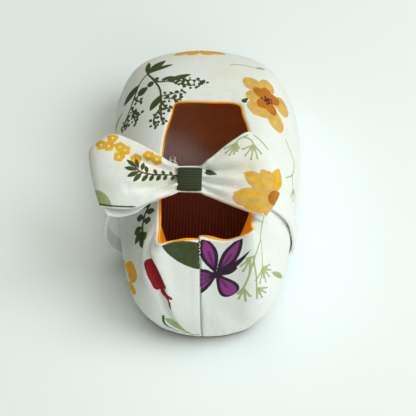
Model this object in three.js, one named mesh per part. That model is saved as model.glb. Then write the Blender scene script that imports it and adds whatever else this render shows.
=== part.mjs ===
// A baby's soft shoe: a cloth upper on a thin sole, an elastic over the opening and a bow on it.
// Millimetres. X runs across the shoe, +Y to the toe and +Z up. The origin is on the floor, in the
// middle of the flat spot under the heel.

import * as THREE from "three";

// Sole
const SOLE_LENGTH = 107.5;
const BALL_WIDTH = 60;
const HEEL_WIDTH = 44.5;
const SOLE_THICKNESS = 3;
const SOLE_EDGE_RADIUS = 0.9;
const SOLE_LIP = 0.4;
const HEEL_SPOT_FROM_HEEL = 16.5;
const ARCH_RISE = 1.2;
const TOE_SPRING = 2.6;
const TOE_SWING = 3;

// Upper
const HEEL_HEIGHT = 41.5;
const INSTEP_HEIGHT = 35.8;
const HEEL_LEAN = 9.9;
const COLLAR_LENGTH = 66;
const COLLAR_WIDTH = 32.6;
const SIDE_BULGE = 13.5;
const VAMP_REACH = 32;
const UPPER_WALL = 1.6;

// Insole
const INSOLE_THICKNESS = 2;
const INSOLE_CLEARANCE = 0.8;
const INSOLE_EDGE_RADIUS = 0.6;

// Elastic
const STRAP_WIDTH = 6;
const STRAP_THICKNESS = 1.2;
const STRAP_FROM_HEEL = 32.5;
const STRAP_RISE = 4.5;
const STRAP_TOP = HEEL_HEIGHT + STRAP_RISE;
const STRAP_LEAN = 1.3;

// Bow and the ribbon round its waist
const BOW_OFFSET = -5.35;
const BOW_TILT = THREE.MathUtils.degToRad(32);
const BOW_CLOTH = 1.1;
const BOW_SLIT = 0.4;
const BOW_WAIST_HEIGHT = 6;
const BOW_FRONT_BULGE = 3.4;
const BOW_BACK_BULGE = 1.4;
const LEFT_LOBE_LENGTH = 32.4;
const RIGHT_LOBE_LENGTH = 29.6;
const LOBE_HEIGHT = 27;
const BAND_WIDTH = 7.2;
const BAND_THICKNESS = 0.8;
const BAND_CORNER = 1.5;

// Clearance between pieces that meet, and the extra room that the curved elastic needs
const GAP = 0.3;
const STRAP_ROOM = 0.3;

// How fine the faceted surfaces are
const UPPER_FACETS = { around: 72, up: 12 };
const SOLE_FACETS_AROUND = 64;
const STRAP_FACETS = 56;
const BOW_FACETS = { along: 8, across: 8 };
const NORMAL_STEP = 0.002;
const HALVINGS = 24;
const PLATE_RING_SHARES = [0.3, 0.6, 0.85];

// Sections round the shoe, from the middle of the heel along the +X side to the middle of the toe.
// along, out: the sole's edge, as shares of its length and of half the width named there.
// collarAlong, collarOut: the collar's edge, as shares of its length and half width.
// drop: the collar's height, 0 at the heel's height and 1 at the instep's.
// lowOut, lowUp: how the wall leaves the sole, as shares of SIDE_BULGE and INSTEP_HEIGHT.
// highOut, highUp: how it comes to the collar, as shares of VAMP_REACH and INSTEP_HEIGHT.
const SECTIONS = [
  { along: 0, out: 0, width: HEEL_WIDTH, collarAlong: 0, collarOut: 0, drop: 0,
    lowOut: 0.5, lowUp: 0.25, highOut: 0.12, highUp: -0.28 },
  { along: 0.012, out: 0.42, width: HEEL_WIDTH, collarAlong: -0.01, collarOut: 0.54, drop: 0.03,
    lowOut: 0.55, lowUp: 0.25, highOut: 0.13, highUp: -0.28 },
  { along: 0.055, out: 0.77, width: HEEL_WIDTH, collarAlong: -0.01, collarOut: 0.92, drop: 0.15,
    lowOut: 0.7, lowUp: 0.25, highOut: 0.16, highUp: -0.25 },
  { along: 0.185, out: 1, width: HEEL_WIDTH, collarAlong: 0.135, collarOut: 0.97, drop: 0.5,
    lowOut: 0.86, lowUp: 0.25, highOut: 0.23, highUp: -0.19 },
  { along: 0.395, out: 0.86, width: BALL_WIDTH, collarAlong: 0.44, collarOut: 1.01, drop: 0.9,
    lowOut: 0.94, lowUp: 0.28, highOut: 0.36, highUp: -0.1 },
  { along: 0.63, out: 0.98, width: BALL_WIDTH, collarAlong: 0.71, collarOut: 0.98, drop: 1,
    lowOut: 1, lowUp: 0.31, highOut: 0.44, highUp: -0.06 },
  { along: 0.825, out: 0.97, width: BALL_WIDTH, collarAlong: 0.89, collarOut: 0.83, drop: 1,
    lowOut: 1.02, lowUp: 0.33, highOut: 0.64, highUp: -0.04 },
  { along: 0.96, out: 0.7, width: BALL_WIDTH, collarAlong: 0.99, collarOut: 0.68, drop: 1,
    lowOut: 0.98, lowUp: 0.38, highOut: 0.86, highUp: -0.03 },
  { along: 1, out: 0, width: BALL_WIDTH, collarAlong: 1, collarOut: 0, drop: 1,
    lowOut: 0.96, lowUp: 0.44, highOut: 1.02, highUp: -0.03 },
];

// Stretches of the underside, as shares of the sole's length
const ARCH = { start: 0.36, end: 0.6 };
const TOE_SPRING_START = 0.8;
const SWING_START = 0.38;

// The elastic's feet follow the upper's wall up to these shares of STRAP_TOP, from the sole up
const STRAP_FEET = {
  left: [0.1],
  right: [0.1, 0.18, 0.27, 0.36, 0.45],
};
const WALL_WIDEST = 0.27;
const WALL_SEARCH_TOP = 0.7;

// The elastic's free arch, from each foot up to the bow.
// out, up: shares of its half span and of STRAP_TOP. turn: how far it has turned to the bow's tilt.
const STRAP_ARCH = {
  left: [
    { out: -1.06, up: 0.21, turn: 0 },
    { out: -1.12, up: 0.31, turn: 0 },
    { out: -1.125, up: 0.42, turn: 0 },
    { out: -1.075, up: 0.62, turn: 0.15 },
    { out: -0.93, up: 0.82, turn: 0.5 },
    { out: -0.6, up: 0.955, turn: 0.9 },
  ],
  right: [
    { out: 0.925, up: 0.61, turn: 0.1 },
    { out: 0.8, up: 0.75, turn: 0.4 },
    { out: 0.56, up: 0.88, turn: 0.7 },
    { out: 0.24, up: 0.97, turn: 0.95 },
  ],
};

// The bow's two lobes. tipTop, tipBottom: the corners of the folded end, as shares of the lobe's
// length and of LOBE_HEIGHT. swell: how far the folded end stands past the line between them.
const LEFT_LOBE = {
  side: -1,
  length: LEFT_LOBE_LENGTH,
  tipTop: { out: 0.86, up: 0.5 },
  tipBottom: { out: 0.86, up: -0.44 },
  swell: 0.14,
};
const RIGHT_LOBE = {
  side: 1,
  length: RIGHT_LOBE_LENGTH,
  tipTop: { out: 0.66, up: 0.58 },
  tipBottom: { out: 0.84, up: -0.42 },
  swell: 0.25,
};

// Where a lobe is fully puffed up, as a share of its length, and how much its open edges keep of it
const FULL_PUFF_FROM = 0.6;
const EDGE_PUFF = 0.3;
// Powers that keep the folded end's outline and its section square, with rounded corners
const TIP_OUTLINE_POWER = 4;
const TIP_SECTION_POWER = 6;

const CLOTH = { color: 0xe6efe6, roughness: 0.9, metalness: 0 };
const MATERIALS = {
  outsole: { color: 0x8a6a48, roughness: 0.8, metalness: 0 },
  insole: { color: 0x4a1c0c, roughness: 0.75, metalness: 0 },
  upper: CLOTH,
  strap: { color: 0xf4f4f0, roughness: 0.85, metalness: 0 },
  bow: CLOTH,
  bow_band: { color: 0x23351f, roughness: 0.7, metalness: 0 },
};

// Closed skins

function indexedMesh(name, points, triangles) {
  const geometry = new THREE.BufferGeometry();
  geometry.setAttribute("position", new THREE.Float32BufferAttribute(points.flat(), 3));
  geometry.setIndex(triangles);
  geometry.computeVertexNormals();
  const mesh = new THREE.Mesh(geometry, new THREE.MeshStandardMaterial(MATERIALS[name]));
  mesh.name = name;
  return mesh;
}

// Two triangles for each cell between two rings, so that the first ring's points run clockwise
// when they are seen from the second ring.
function cellsBetween(first, second, count) {
  const triangles = [];
  for (let i = 0; i < count; i += 1) {
    const next = (i + 1) % count;
    triangles.push(first + i, first + next, second + next);
    triangles.push(first + i, second + next, second + i);
  }
  return triangles;
}

// A skin through rings of points, its last ring joined to its first
function loopedSkin(name, rings) {
  const count = rings[0].length;
  const triangles = rings.flatMap((ring, row) =>
    cellsBetween(row * count, ((row + 1) % rings.length) * count, count));
  return indexedMesh(name, rings.flat(), triangles);
}

// A skin through rings of points, with a point at each end that closes it
function cappedSkin(name, start, rings, end) {
  const count = rings[0].length;
  const points = [...rings.flat(), start, end];
  const startIndex = points.length - 2;
  const endIndex = points.length - 1;
  const lastRing = (rings.length - 1) * count;
  const triangles = rings.slice(1).flatMap((ring, row) =>
    cellsBetween(row * count, (row + 1) * count, count));
  for (let i = 0; i < count; i += 1) {
    const next = (i + 1) % count;
    triangles.push(startIndex, next, i);
    triangles.push(endIndex, lastRing + i, lastRing + next);
  }
  return indexedMesh(name, points, triangles);
}

const range = (count) => Array.from({ length: count }, (_, i) => i);

// The sole's lengthwise form

const shareAlong = (y) => (y + HEEL_SPOT_FROM_HEEL) / SOLE_LENGTH;

function undersideHeight(y) {
  const share = shareAlong(y);
  const arch = THREE.MathUtils.clamp((share - ARCH.start) / (ARCH.end - ARCH.start), 0, 1);
  const spring = Math.max(0, (share - TOE_SPRING_START) / (1 - TOE_SPRING_START));
  return ARCH_RISE * Math.sin(Math.PI * arch) ** 2 + TOE_SPRING * spring ** 2;
}

function swingAt(y) {
  const share = Math.max(0, (shareAlong(y) - SWING_START) / (1 - SWING_START));
  return -TOE_SWING * share ** 2;
}

// Sections worked out in millimetres, all the way round

function sectionSizes(row) {
  return {
    soleX: row.out * row.width / 2,
    soleY: row.along * SOLE_LENGTH - HEEL_SPOT_FROM_HEEL,
    collarX: row.collarOut * COLLAR_WIDTH / 2,
    collarY: HEEL_LEAN + row.collarAlong * COLLAR_LENGTH - HEEL_SPOT_FROM_HEEL,
    collarZ: THREE.MathUtils.lerp(HEEL_HEIGHT, INSTEP_HEIGHT, row.drop),
    lowOut: row.lowOut * SIDE_BULGE,
    lowUp: row.lowUp * INSTEP_HEIGHT,
    highOut: row.highOut * VAMP_REACH,
    highUp: row.highUp * INSTEP_HEIGHT,
  };
}

const mirrored = (section) => ({ ...section, soleX: -section.soleX, collarX: -section.collarX });
const HALF_RING = SECTIONS.map(sectionSizes);
const RING = [...HALF_RING, ...HALF_RING.slice(1, -1).reverse().map(mirrored)];

// The section at a share of the way round, on a closed Catmull-Rom curve through the ring
function sectionAt(turn) {
  const place = (turn - Math.floor(turn)) * RING.length;
  const index = Math.floor(place);
  const t = place - index;
  const rows = [-1, 0, 1, 2].map((step) => RING[(index + step + RING.length) % RING.length]);
  const between = (a, b, c, d) =>
    0.5 * (2 * b + (c - a) * t + (2 * a - 5 * b + 4 * c - d) * t * t
      + (3 * b - a - 3 * c + d) * t * t * t);
  return Object.fromEntries(Object.keys(RING[0]).map((key) =>
    [key, between(...rows.map((row) => row[key]))]));
}

// The direction in plan from the collar's edge out to the sole's edge
function outwardOf(section) {
  const x = section.soleX - section.collarX;
  const y = section.soleY - section.collarY;
  const length = Math.hypot(x, y);
  return { x: x / length, y: y / length };
}

// Outer face of the upper: turn goes round from the heel, up goes from the sole to the collar
function upperPoint(turn, up) {
  const section = sectionAt(turn);
  const outward = outwardOf(section);
  const foot = undersideHeight(section.soleY) + SOLE_THICKNESS + GAP;
  const inPlan = (x, y, out, z) => [x + outward.x * out, y + outward.y * out, z];
  const corners = [
    inPlan(section.soleX, section.soleY, 0, foot),
    inPlan(section.soleX, section.soleY, section.lowOut, foot + section.lowUp),
    inPlan(section.collarX, section.collarY, section.highOut, section.collarZ + section.highUp),
    inPlan(section.collarX, section.collarY, 0, section.collarZ),
  ];
  const down = 1 - up;
  const weights = [down ** 3, 3 * up * down ** 2, 3 * up ** 2 * down, up ** 3];
  const [x, y, z] = [0, 1, 2].map((axis) =>
    corners.reduce((sum, corner, i) => sum + weights[i] * corner[axis], 0));
  return new THREE.Vector3(x + swingAt(y), y, z);
}

function upperNormal(turn, up) {
  const low = Math.max(0, up - NORMAL_STEP);
  const high = Math.min(1, up + NORMAL_STEP);
  const round = upperPoint(turn + NORMAL_STEP, up).sub(upperPoint(turn - NORMAL_STEP, up));
  const rise = upperPoint(turn, high).sub(upperPoint(turn, low));
  return round.cross(rise).normalize();
}

// A point of the upper's wall, depth millimetres in from its outer face
function wallPoint(turn, up, depth) {
  return upperPoint(turn, up).addScaledVector(upperNormal(turn, up), -depth).toArray();
}

// Pieces

// A plate with a rounded edge that follows the sole's outline and its arch and toe spring
function plate(name, { inset, lift, thickness, edgeRadius }) {
  const edge = (turn, inward) => {
    const section = sectionAt(turn);
    const outward = outwardOf(section);
    const y = section.soleY - outward.y * inward;
    return { x: section.soleX - outward.x * inward, y };
  };
  const centreY = SOLE_LENGTH / 2 - HEEL_SPOT_FROM_HEEL;
  const pointAt = (x, y, up) => [x + swingAt(y), y, undersideHeight(y) + lift + up];
  const ring = (inward, share, up) => range(SOLE_FACETS_AROUND).map((i) => {
    const { x, y } = edge(i / SOLE_FACETS_AROUND, inset + inward);
    return pointAt(share * x, centreY + share * (y - centreY), up);
  });
  const quarterTurns = [0, 0.5, 1].map((share) => share * Math.PI / 2);
  const inwardBy = (angle) => edgeRadius * (1 - Math.sin(angle));
  const lowRings = quarterTurns.map((angle) =>
    ring(inwardBy(angle), 1, edgeRadius * (1 - Math.cos(angle))));
  const highRings = quarterTurns.map((angle) =>
    ring(inwardBy(angle), 1, thickness - edgeRadius * (1 - Math.cos(angle)))).reverse();
  const rings = [
    ...PLATE_RING_SHARES.map((share) => ring(edgeRadius, share, 0)),
    ...lowRings,
    ...highRings,
    ...PLATE_RING_SHARES.map((share) => ring(edgeRadius, share, thickness)).reverse(),
  ];
  return cappedSkin(name, pointAt(0, centreY, 0), rings, pointAt(0, centreY, thickness));
}

function makeOutsole() {
  return plate("outsole", {
    inset: -SOLE_LIP,
    lift: 0,
    thickness: SOLE_THICKNESS,
    edgeRadius: SOLE_EDGE_RADIUS,
  });
}

function makeInsole() {
  return plate("insole", {
    inset: UPPER_WALL + INSOLE_CLEARANCE,
    lift: SOLE_THICKNESS + GAP,
    thickness: INSOLE_THICKNESS,
    edgeRadius: INSOLE_EDGE_RADIUS,
  });
}

// One wall, open at the collar and underneath, with a rounded rim
function makeUpper() {
  const { around, up } = UPPER_FACETS;
  const ringAt = (height, depth) => range(around).map((i) => wallPoint(i / around, height, depth));
  const heights = range(up + 1).map((row) => row / up);
  const rim = range(around).map((i) => {
    const middle = new THREE.Vector3(...wallPoint(i / around, 1, UPPER_WALL / 2));
    const below = new THREE.Vector3(...wallPoint(i / around, 1 - 0.5 / up, UPPER_WALL / 2));
    const past = middle.clone().sub(below).setLength(UPPER_WALL / 3);
    return middle.add(past).toArray();
  });
  return loopedSkin("upper", [
    ...heights.map((height) => ringAt(height, 0)),
    rim,
    ...heights.map((height) => ringAt(height, UPPER_WALL)).reverse(),
  ]);
}

// The upper's outer face on one side at a given y and height, found by halving its lower stretch
function wallAt(side, y, z) {
  const turnFor = (up) => {
    let heel = 0;
    let toe = 0.5;
    for (let i = 0; i < HALVINGS; i += 1) {
      const middle = (heel + toe) / 2;
      if (upperPoint(side * middle, up).y < y) {
        heel = middle;
      } else {
        toe = middle;
      }
    }
    return side * (heel + toe) / 2;
  };
  let low = 0;
  let high = WALL_SEARCH_TOP;
  for (let i = 0; i < HALVINGS; i += 1) {
    const middle = (low + high) / 2;
    if (upperPoint(turnFor(middle), middle).z < z) {
      low = middle;
    } else {
      high = middle;
    }
  }
  const turn = turnFor(low);
  return { point: upperPoint(turn, low), normal: upperNormal(turn, low) };
}

// The elastic's middle line along one of its two long edges, -1 towards the heel and 1 the toe
function strapEdge(edge) {
  const station = STRAP_FROM_HEEL - HEEL_SPOT_FROM_HEEL;
  const footPoint = (side, share) => {
    const wall = wallAt(side, station + edge * STRAP_WIDTH / 2, share * STRAP_TOP);
    return wall.point.addScaledVector(wall.normal, GAP + STRAP_THICKNESS / 2);
  };
  const widest = wallAt(1, station, WALL_WIDEST * STRAP_TOP).point.x;
  const halfSpan = widest + GAP + STRAP_THICKNESS / 2;
  const archPoint = ({ out, up, turn }) => {
    const tilt = BOW_TILT * turn;
    return new THREE.Vector3(
      out * halfSpan,
      station - STRAP_LEAN * turn + edge * STRAP_WIDTH / 2 * Math.cos(tilt),
      up * STRAP_TOP + edge * STRAP_WIDTH / 2 * Math.sin(tilt),
    );
  };
  return new THREE.CatmullRomCurve3([
    ...STRAP_FEET.left.map((share) => footPoint(-1, share)),
    ...STRAP_ARCH.left.map(archPoint),
    archPoint({ out: BOW_OFFSET / halfSpan, up: 1, turn: 1 }),
    ...STRAP_ARCH.right.map(archPoint).reverse(),
    ...STRAP_FEET.right.map((share) => footPoint(1, share)).reverse(),
  ]);
}

function makeStrap() {
  const heelEdge = strapEdge(-1);
  const toeEdge = strapEdge(1);
  const sections = range(STRAP_FACETS + 1).map((i) => {
    const t = i / STRAP_FACETS;
    const nearPoint = heelEdge.getPoint(t);
    const farPoint = toeEdge.getPoint(t);
    const across = farPoint.clone().sub(nearPoint).normalize();
    const along = heelEdge.getTangent(t).add(toeEdge.getTangent(t)).normalize();
    const half = along.clone().cross(across).setLength(STRAP_THICKNESS / 2);
    return [
      nearPoint.clone().sub(half),
      farPoint.clone().sub(half),
      farPoint.clone().add(half),
      nearPoint.clone().add(half),
    ].map((corner) => corner.toArray());
  });
  const middle = (corners) => [0, 1, 2].map((axis) =>
    corners.reduce((sum, corner) => sum + corner[axis], 0) / corners.length);
  return cappedSkin("strap", middle(sections[0]), sections, middle(sections.at(-1)));
}

// A point in a lobe's plane: reach runs from the waist to the tip, k from its lower to upper edge
function lobePoint(lobe, reach, k, short) {
  const share = (k + 1) / 2;
  const waistX = BAND_WIDTH / 2;
  const cornerOut = THREE.MathUtils.lerp(lobe.tipBottom.out, lobe.tipTop.out, share);
  const tipX = (cornerOut + lobe.swell * (1 - k ** TIP_OUTLINE_POWER)) * lobe.length - short;
  const tipY = THREE.MathUtils.lerp(lobe.tipBottom.up, lobe.tipTop.up, share) * LOBE_HEIGHT;
  return {
    x: lobe.side * THREE.MathUtils.lerp(waistX, tipX, reach),
    y: THREE.MathUtils.lerp(k * BOW_WAIST_HEIGHT / 2, tipY, reach),
  };
}

// How puffed up a lobe is at a place in its plane, 0 at the waist and 1 in its middle
function lobePuff(reach, k) {
  const alongIt = Math.sin(Math.PI * Math.min(1, reach / FULL_PUFF_FROM) / 2);
  const acrossIt = EDGE_PUFF + (1 - EDGE_PUFF) * (1 - k * k);
  return alongIt * acrossIt;
}

// One closed band of cloth: a row of points across it at each step of its loop
function makeBow() {
  const { along, across } = BOW_FACETS;
  const reaches = range(along + 1).map((i) => Math.sin(i / along * Math.PI / 2));
  const acrossIt = range(across + 1).map((i) => 1 - 2 * i / across);
  const layer = (lobe, reach, face, depth) => acrossIt.map((k) => {
    const { x, y } = lobePoint(lobe, reach, k, depth);
    const bulge = face > 0 ? BOW_FRONT_BULGE : BOW_BACK_BULGE;
    const rest = BOW_SLIT / 2 + BOW_CLOTH - depth;
    const closing = Math.sqrt(1 - reach ** TIP_SECTION_POWER);
    return [x, y, face * closing * (rest + bulge * lobePuff(reach, k))];
  });
  const section = (lobe, reach, face) => [
    ...layer(lobe, reach, face, 0),
    ...layer(lobe, reach, face, BOW_CLOTH).reverse(),
  ];
  const inward = reaches.slice(0, -1).reverse();
  const outward = reaches.slice(0, -1);
  return loopedSkin("bow", [
    section(LEFT_LOBE, 1, 1),
    ...inward.map((reach) => section(LEFT_LOBE, reach, 1)),
    ...outward.map((reach) => section(RIGHT_LOBE, reach, 1)),
    section(RIGHT_LOBE, 1, 1),
    ...inward.map((reach) => section(RIGHT_LOBE, reach, -1)),
    ...outward.map((reach) => section(LEFT_LOBE, reach, -1)),
  ]);
}

// The ribbon's ring, round the bow's waist and the elastic behind it
function makeBowBand() {
  const waist = BOW_SLIT / 2 + BOW_CLOTH;
  const front = waist + GAP;
  const back = -(waist + GAP + STRAP_THICKNESS + STRAP_ROOM + GAP);
  const halfHeight = Math.max(BOW_WAIST_HEIGHT, STRAP_WIDTH) / 2 + GAP;
  const rounded = (target, grow) => {
    const [left, right] = [back - grow, front + grow];
    const [bottom, top] = [-halfHeight - grow, halfHeight + grow];
    const radius = BAND_CORNER - BAND_THICKNESS + grow;
    target.moveTo(left + radius, bottom);
    target.absarc(right - radius, bottom + radius, radius, -Math.PI / 2, 0);
    target.absarc(right - radius, top - radius, radius, 0, Math.PI / 2);
    target.absarc(left + radius, top - radius, radius, Math.PI / 2, Math.PI);
    target.absarc(left + radius, bottom + radius, radius, Math.PI, Math.PI * 1.5);
    return target;
  };
  const outline = rounded(new THREE.Shape(), BAND_THICKNESS);
  outline.holes.push(rounded(new THREE.Path(), 0));
  const geometry = new THREE.ExtrudeGeometry(outline, {
    depth: BAND_WIDTH,
    bevelEnabled: false,
    curveSegments: 4,
  });
  // The outline's x is the bow's front, its y the bow's up, and it is extruded across the bow
  const turned = new THREE.Matrix4().makeBasis(
    new THREE.Vector3(0, 0, 1), new THREE.Vector3(0, 1, 0), new THREE.Vector3(-1, 0, 0));
  geometry.applyMatrix4(turned);
  geometry.translate(BAND_WIDTH / 2, 0, 0);
  const mesh = new THREE.Mesh(geometry, new THREE.MeshStandardMaterial(MATERIALS.bow_band));
  mesh.name = "bow_band";
  return mesh;
}

// The bow's own frame: x along it, y up it and z out of its front, set on top of the elastic
function makeBowGroup() {
  const group = new THREE.Group();
  const standOff = STRAP_THICKNESS / 2 + GAP + BOW_CLOTH + BOW_SLIT / 2;
  const station = STRAP_FROM_HEEL - HEEL_SPOT_FROM_HEEL - STRAP_LEAN;
  group.rotation.x = BOW_TILT;
  group.position.set(
    BOW_OFFSET,
    station - standOff * Math.sin(BOW_TILT),
    STRAP_TOP + standOff * Math.cos(BOW_TILT),
  );
  group.add(makeBow(), makeBowBand());
  return group;
}

const shoe = new THREE.Group();
shoe.add(makeOutsole(), makeInsole(), makeUpper(), makeStrap(), makeBowGroup());

export default shoe;
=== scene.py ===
import math

import bpy
import numpy as np
from bpy.props import FloatProperty, FloatVectorProperty, PointerProperty
from bpy.types import Operator, Panel, PropertyGroup
from mathutils import Matrix, Vector


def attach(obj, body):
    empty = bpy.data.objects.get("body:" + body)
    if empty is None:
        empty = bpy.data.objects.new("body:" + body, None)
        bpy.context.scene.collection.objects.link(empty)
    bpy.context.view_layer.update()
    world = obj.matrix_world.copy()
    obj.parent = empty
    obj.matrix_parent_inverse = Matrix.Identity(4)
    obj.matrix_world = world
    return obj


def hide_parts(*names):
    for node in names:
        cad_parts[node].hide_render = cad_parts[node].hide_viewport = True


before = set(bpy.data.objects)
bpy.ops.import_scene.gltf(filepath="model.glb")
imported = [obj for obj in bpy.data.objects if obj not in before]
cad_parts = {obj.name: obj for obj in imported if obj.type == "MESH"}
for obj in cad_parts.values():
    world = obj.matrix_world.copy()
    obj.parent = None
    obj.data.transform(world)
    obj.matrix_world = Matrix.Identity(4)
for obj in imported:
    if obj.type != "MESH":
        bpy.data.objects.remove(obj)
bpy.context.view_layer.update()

bl_info = {
    "name": "Baby Shoe",
    "version": (1, 0, 0),
    "blender": (4, 5, 0),
    "location": "View3D > Sidebar > Baby Shoe",
    "description": "Dresses the packed baby shoe in printed cloth, lining, ribbon and stitches",
    "category": "Object",
}

MM = 0.001
UV_SCALE = 0.1
SAME_PLACE = 1e-7
TINY = 1e-6
NOWHERE = 1e9
FOLD_POINTS = 18
KNOT_SLACK = 0.4


# Settings a user would change

def length(label, text, millimetres):
    """A length property whose default is given in millimetres."""
    return FloatProperty(name=label, description=text, default=millimetres * MM, unit="LENGTH")


def paint(label, text, red, green, blue):
    """A colour property whose default is given as screen values from 0 to 255."""
    linear = [((c / 255 + 0.055) / 1.055) ** 2.4 if c > 10 else c / 255 / 12.92 for c in (red, green, blue)]
    return FloatVectorProperty(name=label, description=text, default=linear, min=0, max=1, subtype="COLOR")


def watts(label, text, power):
    """A light's power."""
    return FloatProperty(name=label, description=text, default=power, unit="POWER")


class BabyShoeSizes(PropertyGroup):
    """The shoe's lengths, the same as the solids'."""
    sole_length: length("Sole Length", "Heel to toe along the sole", 107.5)
    ball_width: length("Ball Width", "Across the ball of the foot", 60)
    heel_width: length("Heel Width", "Across the heel", 44.5)
    sole_thickness: length("Sole Thickness", "The outsole's cloth", 3)
    sole_edge_radius: length("Sole Edge Radius", "Rounding of the outsole's edge", 0.9)
    heel_spot: length("Heel Spot", "Origin's distance from the back of the sole", 16.5)
    arch_rise: length("Arch Rise", "How far the waist of the sole lifts", 1.2)
    toe_spring: length("Toe Spring", "How far the toe lifts", 2.6)
    toe_swing: length("Toe Swing", "How far the toe turns in", 3)
    heel_height: length("Heel Height", "Top of the collar at the heel", 41.5)
    instep_height: length("Instep Height", "Top of the collar at the instep", 35.8)
    heel_lean: length("Heel Lean", "How far the heel's collar leans in", 9.9)
    collar_length: length("Collar Length", "The opening, heel to instep", 66)
    collar_width: length("Collar Width", "The opening, side to side", 32.6)
    side_bulge: length("Side Bulge", "How far the wall swells above the sole", 13.5)
    vamp_reach: length("Vamp Reach", "How far the cloth runs out from the collar", 32)
    wall: length("Wall", "Cloth, wadding and lining together", 1.6)
    cloth: length("Cloth", "The printed cloth alone", 0.7)
    seam_gap: length("Seam Gap", "From the sole to the upper's edge", 0.3)
    insole_thickness: length("Insole Thickness", "The sock liner", 2)
    insole_clearance: length("Insole Clearance", "From the wall to the sock liner", 0.8)
    strap_width: length("Strap Width", "The elastic's width", 6)
    strap_thickness: length("Strap Thickness", "The elastic's thickness", 1.2)
    strap_from_heel: length("Strap From Heel", "The elastic's place along the sole", 32.5)
    strap_rise: length("Strap Rise", "The elastic's top above the heel's collar", 4.5)
    bow_cloth: length("Bow Cloth", "Thickness of the bow's doubled cloth", 0.9)
    ribbon_width: length("Ribbon Width", "The band round the bow", 7.2)
    ribbon_thickness: length("Ribbon Thickness", "The band's thickness", 0.8)
    weave: length("Weave", "From one thread of the cotton to the next", 0.32)


class BabyShoeColours(PropertyGroup):
    """Cloths and printing inks."""
    cotton: paint("Cotton", "Ground of the printed cloth", 238, 242, 238)
    cotton_warm: paint("Cotton Warm", "Where the ground turns creamy", 238, 230, 212)
    lining: paint("Lining", "Orange lining", 252, 172, 12)
    lining_deep: paint("Lining Deep", "Darker threads of the lining", 240, 142, 4)
    sock: paint("Sock Liner", "Pile of the sock liner", 116, 52, 22)
    # Also painted shade: this dark brown fills the grooves between the ribs near the heel.
    sock_deep: paint("Sock Liner Deep", "Darker tone, and painted shade between its ribs", 52, 15, 5)
    # Painted sheen: a pale greyish colour that stands for light falling into the toe through the opening.
    sock_worn: paint("Sock Liner Painted Sheen", "Lighter nap towards the toe", 238, 230, 230)
    sole: paint("Sole", "Brushed sole cloth", 150, 122, 92)
    sole_deep: paint("Sole Deep", "Darker nap", 104, 80, 56)
    elastic: paint("Elastic", "White elastic", 253, 253, 250)
    ribbon: paint("Ribbon", "Dark green ribbon", 58, 68, 42)
    # Also painted shade: this darker green fills the grooves between the ribbon's ribs.
    ribbon_deep: paint("Ribbon Deep", "Darker tone, and painted shade between its ribs", 38, 47, 27)
    leaf: paint("Leaf Ink", "Dark leaves and sprigs", 60, 74, 36)
    stem: paint("Stem Ink", "Pale stems and umbels", 172, 182, 124)
    petal: paint("Petal Ink", "Gold flower's petals", 224, 178, 88)
    heart: paint("Heart Ink", "Gold flower's inner petals", 190, 116, 30)
    seed: paint("Seed Ink", "Dots in the flower", 92, 42, 34)
    blossom: paint("Blossom Ink", "Bright yellow blossoms", 232, 176, 26)
    plum: paint("Plum Ink", "Violet flower's outline", 44, 8, 42)
    violet: paint("Violet Ink", "Inside of the violet flower", 146, 58, 134)
    bud: paint("Bud Ink", "Crimson bud", 150, 0, 24)
    floor: paint("Floor", "Pale floor", 245, 253, 255)


class BabyShoeStage(PropertyGroup):
    """Camera and light."""
    key_power: watts("Key Power", "Large soft light from the outer side", 6.5)
    top_power: watts("Top Power", "Warm light from overhead", 4.9)
    front_power: watts("Front Power", "Soft light on the heel", 6.4)
    fill: FloatProperty(name="Fill", description="Strength of the pale surroundings", default=0.11)


# Plain arithmetic on arrays

def lerp(a, b, t):
    """Between a and b by the share t."""
    return a + (b - a) * t


def smooth(low, high, value):
    """0 below low, 1 above high and an S-curve between."""
    t = np.clip((value - low) / (high - low), 0, 1)
    return t * t * (3 - 2 * t)


def hump(value, centre, width):
    """1 at the centre, falling off both ways."""
    return np.exp(-((value - centre) / width) ** 2)


def unit(vectors):
    """The same vectors with length 1."""
    return vectors / np.maximum(np.linalg.norm(vectors, axis=-1, keepdims=True), 1e-9)


def between(p0, p1, p2, p3, t):
    """A smooth curve from p1 to p2 at the share t, aimed by its neighbours."""
    return 0.5 * (2 * p1 + (p2 - p0) * t + (2 * p0 - 5 * p1 + 4 * p2 - p3) * t ** 2
                  + (3 * p1 - p0 - 3 * p2 + p3) * t ** 3)


def next_minus_last(ring):
    """Steps from the point before to the point after, round a closed ring."""
    return np.roll(ring, -1, axis=0) - np.roll(ring, 1, axis=0)


def outward(outline):
    """Directions out of a flat closed outline."""
    ahead = next_minus_last(outline)
    return unit(np.stack([ahead[:, 1], -ahead[:, 0]], -1))


def spline(points, shares):
    """A smooth curve through the points, read at shares from 0 to 1."""
    points = np.asarray(points, float)
    place = np.clip(np.asarray(shares, float), 0, 1) * (len(points) - 1)
    index = np.minimum(place.astype(int), len(points) - 2)
    t = (place - index)[..., None]
    last = len(points) - 1
    p0, p1, p2, p3 = (points[np.clip(index + k, 0, last)] for k in (-1, 0, 1, 2))
    p0 = np.where((index == 0)[..., None], 2 * p1 - p2, p0)
    p3 = np.where((index == last - 1)[..., None], 2 * p2 - p1, p3)
    return between(p0, p1, p2, p3, t)


def sizes():
    """Every length in millimetres, by name."""
    group = bpy.context.scene.baby_shoe_sizes
    return {name: getattr(group, name) / MM for name in BabyShoeSizes.__annotations__}


# The wall of the shoe, from the heel's middle to the toe's on the outer side

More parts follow.
